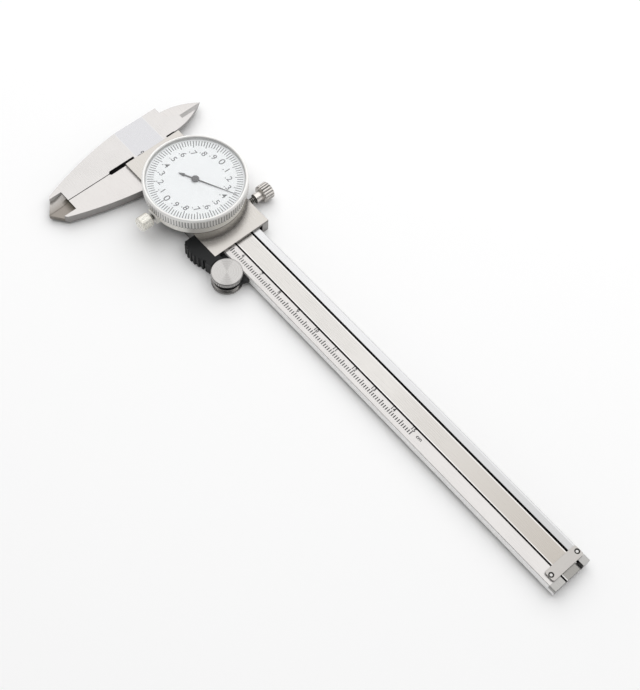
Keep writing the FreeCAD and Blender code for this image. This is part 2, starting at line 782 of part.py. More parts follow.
# Dial housing and movement
def make_housing():
    """Cup of the dial with the rim on which the bezel turns, the clamp's lug and four screws."""
    body = new_body("dial_housing", "dial_x", "0", "plate_top")
    inner = "case_radius - case_wall"
    turned(
        body,
        [
            ("0", "0"),
            ("case_radius", "0"),
            ("case_radius", "case_height"),
            ("spigot_radius", "case_height"),
            ("spigot_radius", "case_height + spigot_height"),
            ("spigot_radius - spigot_wall", "case_height + spigot_height"),
            ("spigot_radius - spigot_wall", "case_height"),
            (inner, "case_height"),
            (inner, "case_floor"),
            ("0", "case_floor"),
        ],
    )
    pad(
        body,
        [
            ("-lug_half", "-lug_face"),
            ("lug_half", "-lug_face"),
            ("lug_half", "-case_radius + case_wall / 2"),
            ("-lug_half", "-case_radius + case_wall / 2"),
        ],
        "0",
        "case_height",
    )
    pocket(
        body,
        [
            ("-lug_half / 2", "-lug_face + lug_reach / 2"),
            ("lug_half / 2", "-lug_face + lug_reach / 2"),
            ("lug_half / 2", "-case_radius - run_gap"),
            ("-lug_half / 2", "-case_radius - run_gap"),
        ],
        "case_height + run_gap",
        "clamp_z - plate_top + clamp_thread",
    )
    pocket(body, None, "lug_face + run_gap", "case_radius - case_wall - run_gap",
           circles=[("0", "clamp_z - plate_top", "clamp_thread + arbor_fit")], plane="XZ_Plane")
    holes = [("(%s) - dial_x" % x, y, "screw_radius") for x, y in case_screws()]
    holes.append(("pinion_x - dial_x", "pinion_y", "arbor_radius + arbor_fit"))
    holes.append(("0", "0", "centre_radius + arbor_fit"))
    pocket(body, None, "case_floor + run_gap", "-run_gap", circles=holes)
    made = [body]
    for number, (x, y) in enumerate(case_screws(), start=1):
        screw = new_body("case_screw_%d" % number, x, y, "back_wall + run_gap")
        neck = "floor_top - back_wall - run_gap"
        turned(screw, [("0", "0"), ("screw_radius", "0"), ("screw_radius", neck), ("screw_head", neck),
                       ("screw_head", neck + " + screw_head_height"), ("0", neck + " + screw_head_height")])
        made.append(screw)
    shoe = new_body("clamp_shoe", "dial_x", "0", "0")
    pad(
        shoe,
        [
            ("-lug_half / 2 + arbor_fit", "-lug_face + lug_reach / 2 + arbor_fit"),
            ("lug_half / 2 - arbor_fit", "-lug_face + lug_reach / 2 + arbor_fit"),
            ("lug_half / 2 - arbor_fit", "-case_radius - run_gap - arbor_fit"),
            ("-lug_half / 2 + arbor_fit", "-case_radius - run_gap - arbor_fit"),
        ],
        "clamp_z + clamp_thread + arbor_fit",
        "bezel_low - arbor_fit",
    )
    made.append(shoe)
    return made


PILLARS = [("dial_x + 0.6 * case_screw_x", "%d * 0.74 * case_screw_y" % side) for side in (-1, 1)]


def make_bridge():
    """Two pillars on the housing's floor and the bridge that carries the upper pivots."""
    made = []
    for number, (x, y) in enumerate(PILLARS, start=1):
        pillar = new_body("pillar_%d" % number, x, y, "floor_top")
        turned(pillar, [("0", "0"), ("pillar_radius", "0"), ("pillar_radius", "bridge_height"),
                        ("0", "bridge_height")])
        made.append(pillar)
    bridge = new_body("movement_bridge")
    side = "0.74 * case_screw_y + 1.5 * pillar_radius"
    near = "dial_x + 0.6 * case_screw_x"
    far = "pinion_x - 2 * pillar_radius"
    pivots = [("pinion_x", "pinion_y", "arbor_radius + arbor_fit"), ("dial_x", "0", "centre_radius + arbor_fit")]
    pad(
        bridge,
        [
            (near + " - 1.5 * pillar_radius", "-(%s)" % side),
            (near + " + 1.5 * pillar_radius", "-(%s)" % side),
            (near + " + 1.5 * pillar_radius", side),
            (near + " - 1.5 * pillar_radius", side),
            (far, "pinion_y + 1.5 * pillar_radius", "1.7 * pillar_radius"),
            (far, "pinion_y - 1.5 * pillar_radius"),
        ],
        "bridge_low",
        "bridge_top",
        circles=pivots,
    )
    made.append(bridge)
    for number, (x, y) in enumerate(PILLARS, start=1):
        screw = new_body("bridge_screw_%d" % number, x, y, "bridge_top")
        turned(screw, [("0", "0"), ("screw_head", "0"), ("screw_head", "screw_head_height"),
                       ("0", "screw_head_height")])
        made.append(screw)
    return made


def make_transfer():
    """Arbor with the rack pinion, and the transfer wheel."""
    x, y = size("pinion_x"), size("pinion_y")
    low = size("channel_floor") + size("run_gap")
    play = size("tooth_play") / 2
    module = size("rack_pitch") / math.pi
    teeth = involute_teeth(size("teeth_rack_pinion"), module, play)
    pinion = plate_of(teeth, low, low + size("rack_thick"))
    # A tooth of the pinion points up into the gap of the rack that faces it
    pinion.rotate(Vector(), Vector(0, 0, 1), 90)
    staff = Part.makeCylinder(size("arbor_radius"), size("bridge_top") - low, Vector(0, 0, low))
    arbor = pinion.fuse(staff).removeSplitter()
    arbor.translate(Vector(x, y, 0))
    wheel_low = size("floor_top + screw_head_height + run_gap")
    wheel = plate_of(involute_teeth(size("teeth_wheel"), size("wheel_module"), play), wheel_low,
                     wheel_low + size("wheel_thick"))
    hole = Part.makeCylinder(size("arbor_radius"), 3 * size("wheel_thick"),
                             Vector(0, 0, wheel_low - size("wheel_thick")))
    wheel = wheel.cut(hole)
    # A tooth of the wheel points at the centre pinion
    toward = math.degrees(math.atan2(-y, size("dial_x") - x))
    wheel.rotate(Vector(), Vector(0, 0, 1), toward)
    wheel.translate(Vector(x, y, 0))
    return [solid("transfer_arbor", arbor), solid("transfer_wheel", wheel)]


def make_centre():
    """Centre arbor with its pinion, the needle and the needle's hub."""
    x = size("dial_x")
    play = size("tooth_play") / 2
    count = size("teeth_centre")
    low = size("plate_top") + size("run_gap")
    wheel_low = size("floor_top + screw_head_height + run_gap")
    teeth = involute_teeth(count, size("wheel_module"), play)
    spare = size("wheel_thick") / 3
    pinion = plate_of(teeth, wheel_low - spare, wheel_low + size("wheel_thick") + spare)
    # A gap of the pinion faces the wheel's tooth
    toward = math.degrees(math.atan2(size("pinion_y"), size("pinion_x") - x))
    pinion.rotate(Vector(), Vector(0, 0, 1), toward + 180.0 / count)
    top = size("needle_low + needle_thick")
    staff = Part.makeCylinder(size("centre_radius"), top - low, Vector(0, 0, low))
    arbor = pinion.fuse(staff).removeSplitter()
    arbor.translate(Vector(x, 0, 0))
    needle = new_body("needle", "dial_x", "0", "needle_low", Rotation(Vector(0, 0, 1), 90 - size("needle_turn")))
    waist = "hub_radius * 0.17"
    point = "needle_thick * 0.4"
    pad(
        needle,
        [
            ("needle_reach", point),
            ("hub_radius", waist),
            ("-needle_tail + 3 * hub_radius * 0.6", waist),
            ("-needle_tail * 0.68", "hub_radius * 0.45"),
            ("-needle_tail", point),
            ("-needle_tail", "-" + point),
            ("-needle_tail * 0.68", "-hub_radius * 0.45"),
            ("-needle_tail + 3 * hub_radius * 0.6", "-" + waist),
            ("hub_radius", "-" + waist),
            ("needle_reach", "-" + point),
        ],
        "0",
        "needle_thick",
    )
    pad(needle, None, "0", "needle_thick", circles=[("0", "0", "hub_radius * 0.8")])
    pocket(needle, None, "needle_thick", "0", circles=[("0", "0", "centre_radius")])
    hub = new_body("needle_hub", "dial_x", "0", "needle_low + needle_thick")
    turned(hub, [("0", "0"), ("hub_radius", "0"), ("hub_radius", "needle_thick"),
                 ("hub_radius * 0.8", "needle_thick * 2"), ("0", "needle_thick * 2")])
    return [solid("centre_arbor", arbor), needle, hub]


def make_bezel():
    """Knurled bezel, the dial face in it and the crystal over it."""
    body = new_body("bezel", "dial_x", "0", "bezel_low")
    lip = "bezel_lip * 0.35"
    turned(
        body,
        [
            ("bezel_bore", "0"),
            ("bezel_radius", "0"),
            ("bezel_radius", "bezel_height - %s" % lip),
            ("bezel_radius - %s" % lip, "bezel_height"),
            ("bezel_bore + %s" % lip, "bezel_height"),
            ("bezel_bore", "bezel_height - %s" % lip),
        ],
    )
    doc.recompute()
    # One groove of the knurling, then its copies round the rim
    groove = new_sketch(body, "XY_Plane", "-run_gap")
    draw(
        groove,
        [
            ("bezel_radius - knurl_depth", "0"),
            ("bezel_radius + knurl_depth", "-1.8 * pi * bezel_radius / knurl_count"),
            ("bezel_radius + knurl_depth", "1.8 * pi * bezel_radius / knurl_count"),
        ],
    )
    cut = body.newObject("PartDesign::Pocket", "bezel_groove")
    cut.Profile = groove
    cut.Reversed = True
    cut.setExpression("Length", formula("bezel_height - bezel_band - bezel_lip * 0.35"))
    ring = body.newObject("PartDesign::PolarPattern", "bezel_knurl")
    ring.Originals = [cut]
    ring.Axis = (groove, ["N_Axis"])
    ring.Angle = TURN
    ring.setExpression("Occurrences", formula("knurl_count"))
    body.Tip = ring
    face = new_body("dial_face", "dial_x", "0", "face_low")
    pad(face, None, "0", "face_thick", circles=[("0", "0", "bezel_bore"), ("0", "0", "centre_radius * 2")])
    crystal = new_body("crystal", "dial_x", "0", "crystal_low")
    turned(crystal, [("0", "0"), ("bezel_bore", "0"), ("bezel_bore", "crystal_thick - bezel_lip * 0.35"),
                     ("bezel_bore - bezel_lip * 0.35", "crystal_thick"), ("0", "crystal_thick")])
    return [body, face, crystal]


# Thumb rest and roller
def make_rest():
    """Thumb rest on the slider's lower wall, with the arm that carries the roller."""
    body = new_body("thumb_rest")
    clear = "roller_radius + 5 * run_gap"
    pad(
        body,
        [
            ("rest_start", "-rest_wall"),
            ("rest_start", "-rest_left_depth", "rest_bow"),
            ("rest_start + rest_crown", "-rest_left_depth"),
            ("roller_x - 0.9 * (%s)" % clear, "-roller_y - 0.43589 * (%s)" % clear, "-(%s)" % clear),
            ("roller_x - 0.9 * (%s)" % clear, "-roller_y + 0.43589 * (%s)" % clear),
            ("slider_end + run_gap", "-rest_wall + 1.6"),
            ("slider_end + run_gap", "-rest_wall"),
        ],
        "rest_sunk",
        "rest_top",
    )
    pad(
        body,
        [
            ("slider_end + run_gap", "-beam_half - 2 * run_gap"),
            ("slider_end + run_gap", "-rest_wall - 2"),
            ("roller_x - 4", "-roller_y - 2", "5"),
            ("roller_x + 4", "-roller_y - 2"),
            ("roller_x + arm_reach", "-beam_half - 2 * run_gap - arm_nose"),
            ("roller_x + arm_reach", "-beam_half - 2 * run_gap"),
        ],
        "arm_low",
        "arm_top",
        circles=[("roller_x", "-roller_y", "roller_axle + arbor_fit")],
    )
    # Grooves for the thumb round the crown
    crown_y = "-rest_left_depth + sqrt(rest_bow ^ 2 - (rest_crown / 2) ^ 2)"
    grooves = []
    for number in range(int(size("rib_count"))):
        lean = "(rib_shift + (%d - (rib_count - 1) / 2) * rib_pitch) / rest_bow * 180 / pi" % number
        x = "rest_start + rest_crown / 2 + rest_bow * sin(%s)" % lean
        y = "%s - rest_bow * cos(%s)" % (crown_y, lean)
        grooves.append((x, y, "rib_radius"))
    pocket(body, None, "rest_top + run_gap", "0", circles=grooves)
    shanks = [(place, "beam_middle", "screw_radius") for place in REST_SCREWS]
    pocket(body, None, "rest_screw_low", "rest_wall - run_gap", circles=shanks, plane="XZ_Plane")
    made = [body]
    for number, place in enumerate(REST_SCREWS, start=1):
        screw = new_body("rest_screw_%d" % number, place, "-rest_screw_low", "beam_middle",
                         Rotation(Vector(1, 0, 0), -90))
        neck = "rest_screw_low - wall_low - run_gap - screw_head_height"
        top = "rest_screw_low - wall_low - run_gap"
        turned(screw, [("0", "0"), ("screw_radius", "0"), ("screw_radius", neck), ("screw_head", neck),
                       ("screw_head", top), ("0", top)])
        made.append(screw)
    return made


def make_roller():
    """Thumb roller: two discs with shoulders that run along the beam, on one axle."""
    body = new_body("thumb_roller", "roller_x", "-roller_y", "0")
    low = "run_gap"
    high = "roller_top"
    gap = "run_gap * 2"
    turned(
        body,
        [
            ("0", low),
            ("roller_radius - 0.3", low),
            ("roller_radius", low + " + 0.3"),
            ("roller_radius", "back_wall - run_gap"),
            ("roller_neck", "back_wall - run_gap"),
            ("roller_neck", "arm_low - " + gap),
            ("roller_axle", "arm_low - " + gap),
            ("roller_axle", "arm_top + " + gap),
            ("roller_neck", "arm_top + " + gap),
            ("roller_neck", "disc_low"),
            ("roller_radius", "disc_low"),
            ("roller_radius", high + " - 0.3"),
            ("roller_radius - 0.3", high),
            ("0", high),
        ],
    )
    return body


# Screws turned by hand
def make_lock():
    """Lock screw: threaded tip, collar and knurled head."""
    start = "beam_half + run_gap + gib_thick + run_gap"
    body = new_body("lock_screw", "lock_x", start, "lock_z", Rotation(Vector(1, 0, 0), -90))
    neck = "slider_half + lock_neck_start - (%s)" % start
    collar = neck + " + lock_collar_length"
    top = collar + " + lock_head_length"
    edge = "lock_head * 0.12"
    turned(
        body,
        [
            ("0", "0"),
            ("lock_thread", "0"),
            ("lock_thread", neck),
            ("lock_collar", neck),
            ("lock_collar", collar),
            ("lock_head - %s" % edge, collar),
            ("lock_head", "%s + %s" % (collar, edge)),
            ("lock_head", "%s - %s" % (top, edge)),
            ("lock_head - %s" % edge, top),
            ("0", top),
        ],
    )
    return body


def make_clamp_screw():
    """Bezel clamp screw: shank in the lug and a grooved head."""
    body = new_body("bezel_clamp_screw", "dial_x", "-case_radius + case_wall", "clamp_z",
                    Rotation(Vector(1, 0, 0), 90))
    neck = "lug_reach + case_wall + clamp_show"
    top = neck + " + clamp_head_length"
    edge = "clamp_head * 0.15"
    turned(
        body,
        [
            ("0", "0"),
            ("clamp_thread", "0"),
            ("clamp_thread", neck),
            ("clamp_head - %s" % edge, neck),
            ("clamp_head", "%s + %s" % (neck, edge)),
            ("clamp_head", "%s - %s" % (top, edge)),
            ("clamp_head - %s" % edge, top),
            ("0", top),
        ],
    )
    return body


def make_all():
    """Builds every sub-part and gives them in one list."""
    parts = [make_beam(), make_rack(), make_slider_frame(), make_plate()]
    for made in (make_stop(), make_gib(), make_blade(), make_housing(), make_bridge()):
        parts += made
    for made in (make_transfer(), make_centre(), make_bezel(), make_rest()):
        parts += made
    parts += [make_roller(), make_lock(), make_clamp_screw()]
    return parts


def write_all(parts):
    """Checks every object and every shape, then writes one STEP file per sub-part."""
    doc.recompute()
    for item in doc.Objects:
        for word in ("Invalid", "Error"):
            if word in item.State:
                raise RuntimeError("%s is %s" % (item.Name, word))
    for part in parts:
        shape = part.Shape
        if shape.isNull() or not shape.isValid() or not shape.Solids:
            raise RuntimeError("%s has no valid solid" % part.Label)
    os.makedirs("parts", exist_ok=True)
    for part in parts:
        part.Shape.exportStep("parts/%s.step" % part.Label)
        print("%-20s solids %d volume %.3f" % (part.Label, len(part.Shape.Solids), part.Shape.Volume))


write_all(make_all())
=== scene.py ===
"""Dial caliper, dressed for its photograph: finishes, printed scale, printed dial and the stage."""
from __future__ import annotations

import logging
import math
from dataclasses import dataclass, field
from enum import Enum

import bpy
from mathutils import Matrix, Vector


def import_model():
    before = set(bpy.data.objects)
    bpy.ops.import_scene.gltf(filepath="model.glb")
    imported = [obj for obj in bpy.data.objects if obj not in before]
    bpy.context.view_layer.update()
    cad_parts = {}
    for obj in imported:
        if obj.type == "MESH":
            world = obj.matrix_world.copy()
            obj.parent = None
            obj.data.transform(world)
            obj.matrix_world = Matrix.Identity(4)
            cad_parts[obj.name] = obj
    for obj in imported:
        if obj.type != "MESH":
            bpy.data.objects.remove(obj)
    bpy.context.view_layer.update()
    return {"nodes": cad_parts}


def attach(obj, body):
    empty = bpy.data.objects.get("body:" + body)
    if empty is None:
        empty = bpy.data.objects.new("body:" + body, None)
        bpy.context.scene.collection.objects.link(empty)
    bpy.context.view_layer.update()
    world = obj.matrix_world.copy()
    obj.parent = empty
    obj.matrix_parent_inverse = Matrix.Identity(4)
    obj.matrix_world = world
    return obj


LOG = logging.getLogger("caliper")
MM = 0.001

Pair = tuple[float, float]
Triple = tuple[float, float, float]
Span = tuple[float | None, float | None]

# Places of the caliper, in millimetres
DIAL_X = 27.4
DIAL_AXIS = (DIAL_X, 0.0, 0.0)
ROLLER_AXIS = (61.9, -13.53, 0.0)
STOP_SCREWS = ((215.6, -5.35), (215.6, 6.85))
BEAM_TOP = 4.88
FACE_TOP = 13.73

# Bounds that patches share: past the stop plate, at the beam's top, and the outside jaws' hollow tips
PAST_STOP = 217.6
TOP_Z = (4.5, None)
CREST_Z = (4.7, None)
TIP_Y = (-47.5, -38.2)
TIP_Z = (0.6, 4.82)

# Print: its thickness, the share of a capital in the size of its letters, and the steps of a curve
PRINT_LIFT = 0.006
CAPITAL_SHARE = 0.72
CURVE_STEPS = 4

# Painted shade: near-black tints painted into the gaps and slots between close pieces
GAP_SHADE = (0.01, 0.01, 0.01)
SHADE = (0.02, 0.02, 0.02)

# Fineness of the grain across it, along it and in its clouds, and the weights of grain and clouds
FINE_GRAIN = 9.0
LONG_GRAIN = 0.25
BROAD_GRAIN = 0.07
FINE_SHARE = 0.6
BROAD_SHARE = 0.4

# How many finer layers a noise has
FEW_LAYERS = 2.0
LAYERS = 3.0

# Noise values that are stretched to a whole range
NARROW = (0.35, 0.65)
WIDE = (0.3, 0.7)

# Least and greatest share of a finish's roughness
METAL_ROUGH = (0.85, 1.2)
PLAIN_ROUGH = (0.95, 1.05)

# Heights of the normal between which a piece's side turns into its front, where the painted shade of
# the sides fades out
FRONT_SLOPES = (0.35, 0.8)

# How many rays a Bevel node looks along
BEVEL_SAMPLES = 4

# Sockets of a Mix node that mixes colours
MIX_SHARE = 0
MIX_FIRST = 6
MIX_SECOND = 7
MIX_RESULT = 2


class Side(Enum):
    """Which way a brushed grain runs."""

    ALONG = "along the beam"
    ACROSS = "across the beam"
    ROUND = "round an axis"


def toned(tint: Triple, share: float) -> Triple:
    """Makes a tint darker or lighter.

    Args:
        tint: The tint.
        share: What each of its parts is multiplied by.

    Returns:
        The new tint, of one at most.
    """
    return tuple(min(1.0, part * share) for part in tint)


class Wire:
    """A socket of a node tree, with arithmetic that adds the nodes for it."""

    def __init__(self, nodes: Nodes, socket: bpy.types.NodeSocket) -> None:
        """Keeps a socket and the node tree that it belongs to.

        Args:
            nodes: The node tree.
            socket: The socket.
        """
        self.nodes = nodes
        self.socket = socket

    def maths(self, kind: str, *others: Wire | float) -> Wire:
        """Adds one Math node.

        Args:
            kind: The operation of the node.
            others: What the operation takes after this socket.

        Returns:
            The node's result.
        """
        values = {0: self, **dict(enumerate(others, 1))}
        return self.nodes.node("ShaderNodeMath", {"operation": kind}, values)

    def __add__(self, other: Wire | float) -> Wire:
        """Sum."""
        return self.maths("ADD", other)

    def __radd__(self, other: float) -> Wire:
        """Sum, with the number first."""
        return self.maths("ADD", other)

    def __sub__(self, other: Wire | float) -> Wire:
        """Difference."""
        return self.maths("SUBTRACT", other)

    def __rsub__(self, other: float) -> Wire:
        """Difference, with the number first."""
        return self.nodes.node("ShaderNodeMath", {"operation": "SUBTRACT"}, {0: other, 1: self})

    def __mul__(self, other: Wire | float) -> Wire:
        """Product."""
        return self.maths("MULTIPLY", other)

    def __rmul__(self, other: float) -> Wire:
        """Product, with the number first."""
        return self.maths("MULTIPLY", other)

    def above(self, edge: float) -> Wire:
        """Tests for greater values.

        Args:
            edge: The limit.

        Returns:
            One where the value is greater than the limit.
        """
        return self.maths("GREATER_THAN", edge)

    def below(self, edge: float) -> Wire:
        """Tests for lesser values.

        Args:
            edge: The limit.

        Returns:
            One where the value is less than the limit.
        """
        return self.maths("LESS_THAN", edge)

    def size(self) -> Wire:
        """The value without its sign."""
        return self.maths("ABSOLUTE")

    def wave(self) -> Wire:
        """Sine of the value."""
        return self.maths("SINE")

    def reach(self, other: Wire) -> Wire:
        """Distance of a point from an axis.

        Args:
            other: The point's second coordinate across the axis. This one is the first.

        Returns:
            The distance.
        """
        return (self * self + other * other).maths("SQRT")

    def angle(self, other: Wire) -> Wire:
        """Angle of a point round an axis.

        Args:
            other: The point's first coordinate across the axis. This one is the second.

        Returns:
            The angle in radians.
        """
        return self.maths("ARCTAN2", other)

    def ramp(self, low: float, high: float, start: float = 0.0, end: float = 1.0) -> Wire:
        """Maps low..high to start..end and stops there.

        Args:
            low: Where the ramp begins.
            high: Where it ends.
            start: Value at and below low.
            end: Value at and above high.

        Returns:
            The mapped value.
        """
        values = {"Value": self, "From Min": low, "From Max": high, "To Min": start, "To Max": end}
        return self.nodes.node("ShaderNodeMapRange", {"clamp": True}, values)


class Nodes:
    """A node tree, and what every kind of it is built with."""

    def __init__(self, tree: bpy.types.NodeTree) -> None:
        """Keeps the tree.

        Args:
            tree: The node tree.
        """
        self.tree = tree

    def node(self, kind: str, settings: dict, values: dict, result: int | str = 0) -> Wire:
        """Adds any node.

        Args:
            kind: The node's type.
            settings: What is set on the node before its sockets.
            values: Values or wires of its sockets.
            result: The output that is given back.

        Returns:
            That output.
        """
        made = self.tree.nodes.new(kind)
        for key, value in settings.items():
            setattr(made, key, value)
        for key, value in values.items():
            self.join(value, made.inputs[key])
        return Wire(self, made.outputs[result])

    def join(self, value: Wire | float | tuple, socket: bpy.types.NodeSocket) -> None:
        """Links a wire to a socket, or sets the socket to a value.

        Args:
            value: The wire or the value.
            socket: The socket.
        """
        if isinstance(value, Wire):
            self.tree.links.new(value.socket, socket)
            return
        socket.default_value = value

    def parts(self, place: Wire) -> list[Wire]:
        """Splits coordinates into X, Y and Z.

        Args:
            place: The coordinates.

        Returns:
            The three parts.
        """
        split = self.node("ShaderNodeSeparateXYZ", {}, {0: place})
        return [Wire(self, output) for output in split.socket.node.outputs]

    def noise(self, place: Wire, scale: float, detail: float) -> Wire:
        """Noise of about 0.5 over coordinates.

        Args:
            place: The coordinates.
            scale: Its fineness.
            detail: How many finer layers it has.

        Returns:
            The noise.
        """
        values = {"Vector": place, "Scale": scale, "Detail": detail}
        return self.node("ShaderNodeTexNoise", {"noise_dimensions": "3D"}, values)

    def blend(self, share: Wire, first: Triple | Wire, second: Triple | Wire) -> Wire:
        """Mixes two colours.

        Args:
            share: Share of the second colour.
            first: The first colour.
            second: The second colour.

        Returns:
            The mix.
        """
        values = {MIX_SHARE: share}
        for socket, colour in ((MIX_FIRST, first), (MIX_SECOND, second)):
            values[socket] = colour if isinstance(colour, Wire) else (*colour, 1.0)
        return self.node("ShaderNodeMix", {"data_type": "RGBA"}, values, MIX_RESULT)


class Paint(Nodes):
    """One procedural material on a Principled shader."""

    def __init__(self, name: str) -> None:
        """Starts an empty material.

        Args:
            name: Name of the material.
        """
        self.material = bpy.data.materials.new(name)
        self.material.use_nodes = True
        super().__init__(self.material.node_tree)
        self.tree.nodes.clear()
        self.output = self.tree.nodes.new("ShaderNodeOutputMaterial")
        self.shader = self.tree.nodes.new("ShaderNodeBsdfPrincipled")
        self.join(Wire(self, self.shader.outputs[0]), self.output.inputs["Surface"])

    def set(self, **values: Wire | float | tuple) -> None:
        """Sets the shader's sockets, written with underscores for spaces.

        Args:
            values: Socket names with their values or wires.
        """
        for key, value in values.items():
            self.join(value, self.shader.inputs[key.replace("_", " ")])

    def place(self, offset: Triple = (0.0, 0.0, 0.0), scale: Triple = (1.0, 1.0, 1.0)) -> Wire:
        """Object coordinates in millimetres, moved by an offset and then stretched.

        Args:
            offset: Place in millimetres that becomes the origin.
            scale: Stretch along each axis.

        Returns:
            The coordinates.
        """
        place = self.node("ShaderNodeTexCoord", {}, {}, "Object")
        steps = (
            ("SCALE", {"Scale": 1.0 / MM}),
            ("SUBTRACT", {1: offset}),
            ("MULTIPLY", {1: scale}),
        )
        for kind, values in steps:
            place = self.node("ShaderNodeVectorMath", {"operation": kind}, {0: place, **values})
        return place

    def facing(self) -> Wire:
        """Tells front and back faces from sides, for the shade painted on the sides.

        Returns:
            One on front and back faces, falling to zero on the sides of a piece.
        """
        normal = self.node("ShaderNodeNewGeometry", {}, {}, "Normal")
        return self.parts(normal)[2].size().ramp(*FRONT_SLOPES)

    def bump(self, height: Wire, distance: float, normal: Wire) -> Wire:
        """Adds a height to a normal.

        Args:
            height: The height.
            distance: What a height of one stands for, in millimetres.
            normal: The normal that it starts from.

        Returns:
            The new normal.
        """
        values = {"Height": height, "Distance": distance * MM, "Normal": normal}
        return self.node("ShaderNodeBump", {}, values)

    def rounded(self, radius: float) -> Wire:
        """Normal with the piece's edges rounded off.

        Args:
            radius: Radius of the edges in millimetres.

        Returns:
            The normal.
        """
        return self.node("ShaderNodeBevel", {"samples": BEVEL_SAMPLES}, {"Radius": radius * MM})


@dataclass(frozen=True)
class Finish:
    """What a piece's surface is like.

    Attributes:
        name: Name of the material.
        tint: Base colour of the front.
    """

    name: str
    tint: Triple

    def make(self) -> bpy.types.Material:
        """Builds the material.

        Returns:
            The material.
        """
        raise NotImplementedError


@dataclass(frozen=True)
class Patch:
    """A place on a piece that has a tint of its own: used for painted shade and painted highlights,
    and for a few finishes of their own.

    Attributes:
        tint: Its base colour.
        matt: How much less metallic it is.
    """

    tint: Triple
    matt: float = field(default=0.0, kw_only=True)

    def mask(self, paint: Paint) -> Wire:
        """Share of the patch at each point.

        Args:
            paint: The material.

        Returns:
            Zero outside the patch, and its share inside it.
        """
        raise NotImplementedError


@dataclass(frozen=True)
class Zone(Patch):
    """A patch that is a box. None leaves a side of it open.

    Attributes:
        x: Where it begins and ends along X, in millimetres.
        y: The same along Y.
        z: The same along Z.
        share: How much of the tint it takes.
        fade: Number of an axis, and the places on it between which the tint grows.
    """

    x: Span = (None, None)
    y: Span = (None, None)
    z: Span = (None, None)
    share: float = 1.0
    fade: tuple[int, float, float] | None = None

    def mask(self, paint: Paint) -> Wire:
        """Share of the box at each point.

        Args:
            paint: The material.

        Returns:
            Zero outside the box, and the share inside it, growing along the fade's axis.
        """
        places = paint.parts(paint.place())
        mask = None
        for value, (low, high) in zip(places, (self.x, self.y, self.z)):
            tests = [value.above(low)] if low is not None else []
            tests += [value.below(high)] if high is not None else []
            for test in tests:
                mask = test if mask is None else mask * test
        if self.fade:
            axis, start, end = self.fade
            mask = mask * places[axis].ramp(start, end)
        return mask * self.share


@dataclass(frozen=True)
class Spot(Patch):
    """A patch that is a ring round an axis along Z.

    Attributes:
        centre: Place of the axis in millimetres.
        inner: Where the ring begins, in millimetres from the axis.
        outer: Where it ends.
    """

    centre: Pair
    inner: float
    outer: float

    def mask(self, paint: Paint) -> Wire:
        """Share of the ring at each point.

        Args:
            paint: The material.

        Returns:
            One on the ring and zero elsewhere.
        """
        x, y, _ = paint.parts(paint.place((*self.centre, 0.0)))
        away = x.reach(y)
        return away.above(self.inner) * away.below(self.outer)


@dataclass(frozen=True)
class Ridges:
    """Fine knurling round an axis, with painted shade in its grooves.

    Attributes:
        count: How many ridges there are.
        radius: From which radius they show, in millimetres.
        low: Where they begin along the axis.
        high: Where they end.
        dark: Share of the tint in the grooves, as painted shade.
        depth: Depth of the grooves' relief in millimetres.
        wall: Heights of the sine between which a groove's wall rises.
    """

    count: float
    radius: float
    low: float
    high: float
    dark: float
    depth: float = 0.0
    wall: Pair = (-0.35, 0.55)

    def mask(self, paint: Paint, axis: Triple) -> Wire:
        """Finds the grooves.

        Args:
            paint: The material.
            axis: Place of the axis in millimetres.

        Returns:
            One in the grooves, zero on the ridges and elsewhere.
        """
        x, y, z = paint.parts(paint.place(axis))
        rim = x.reach(y).above(self.radius) * z.above(self.low) * z.below(self.high)
        turn = y.angle(x) * self.count + math.pi / 2
        return turn.wave().ramp(*self.wall) * rim


@dataclass(frozen=True)
class Fan:
    """Painted reflection: two opposite fans of fine rays round an axis, the bow-tie reflection of a
    faced end painted into the colour.

    Attributes:
        dark: How much darker the rays are.
        turn: Where the fans point, in radians of their wave.
        broad: Weight of the two fans.
        fine: Weight of the rays.
        spokes: How far the angle is stretched for the rays.
        scale: Fineness of the rays.
        edge: Values between which a fan's edge rises.
    """

    dark: float = 0.2
    turn: float = 2.915
    broad: float = 0.8
    fine: float = 0.7
    spokes: float = 3.0
    scale: float = 2.2
    edge: Pair = (0.7, 1.15)

    def mask(self, paint: Paint, axis: Triple) -> Wire:
        """Finds the rays of the painted reflection.

        Args:
            paint: The material.
            axis: Place of the axis in millimetres.

        Returns:
            One on the rays and zero between them.
        """
        x, y, _ = paint.parts(paint.place(axis))
        angle = y.angle(x)
        line = paint.node("ShaderNodeCombineXYZ", {}, {0: angle * self.spokes, 1: 0.0, 2: 0.0})
        rays = paint.noise(line, self.scale, LAYERS)
        fans = (angle * 2.0 + self.turn).wave()
        return (fans * self.broad + rays * self.fine).ramp(*self.edge)


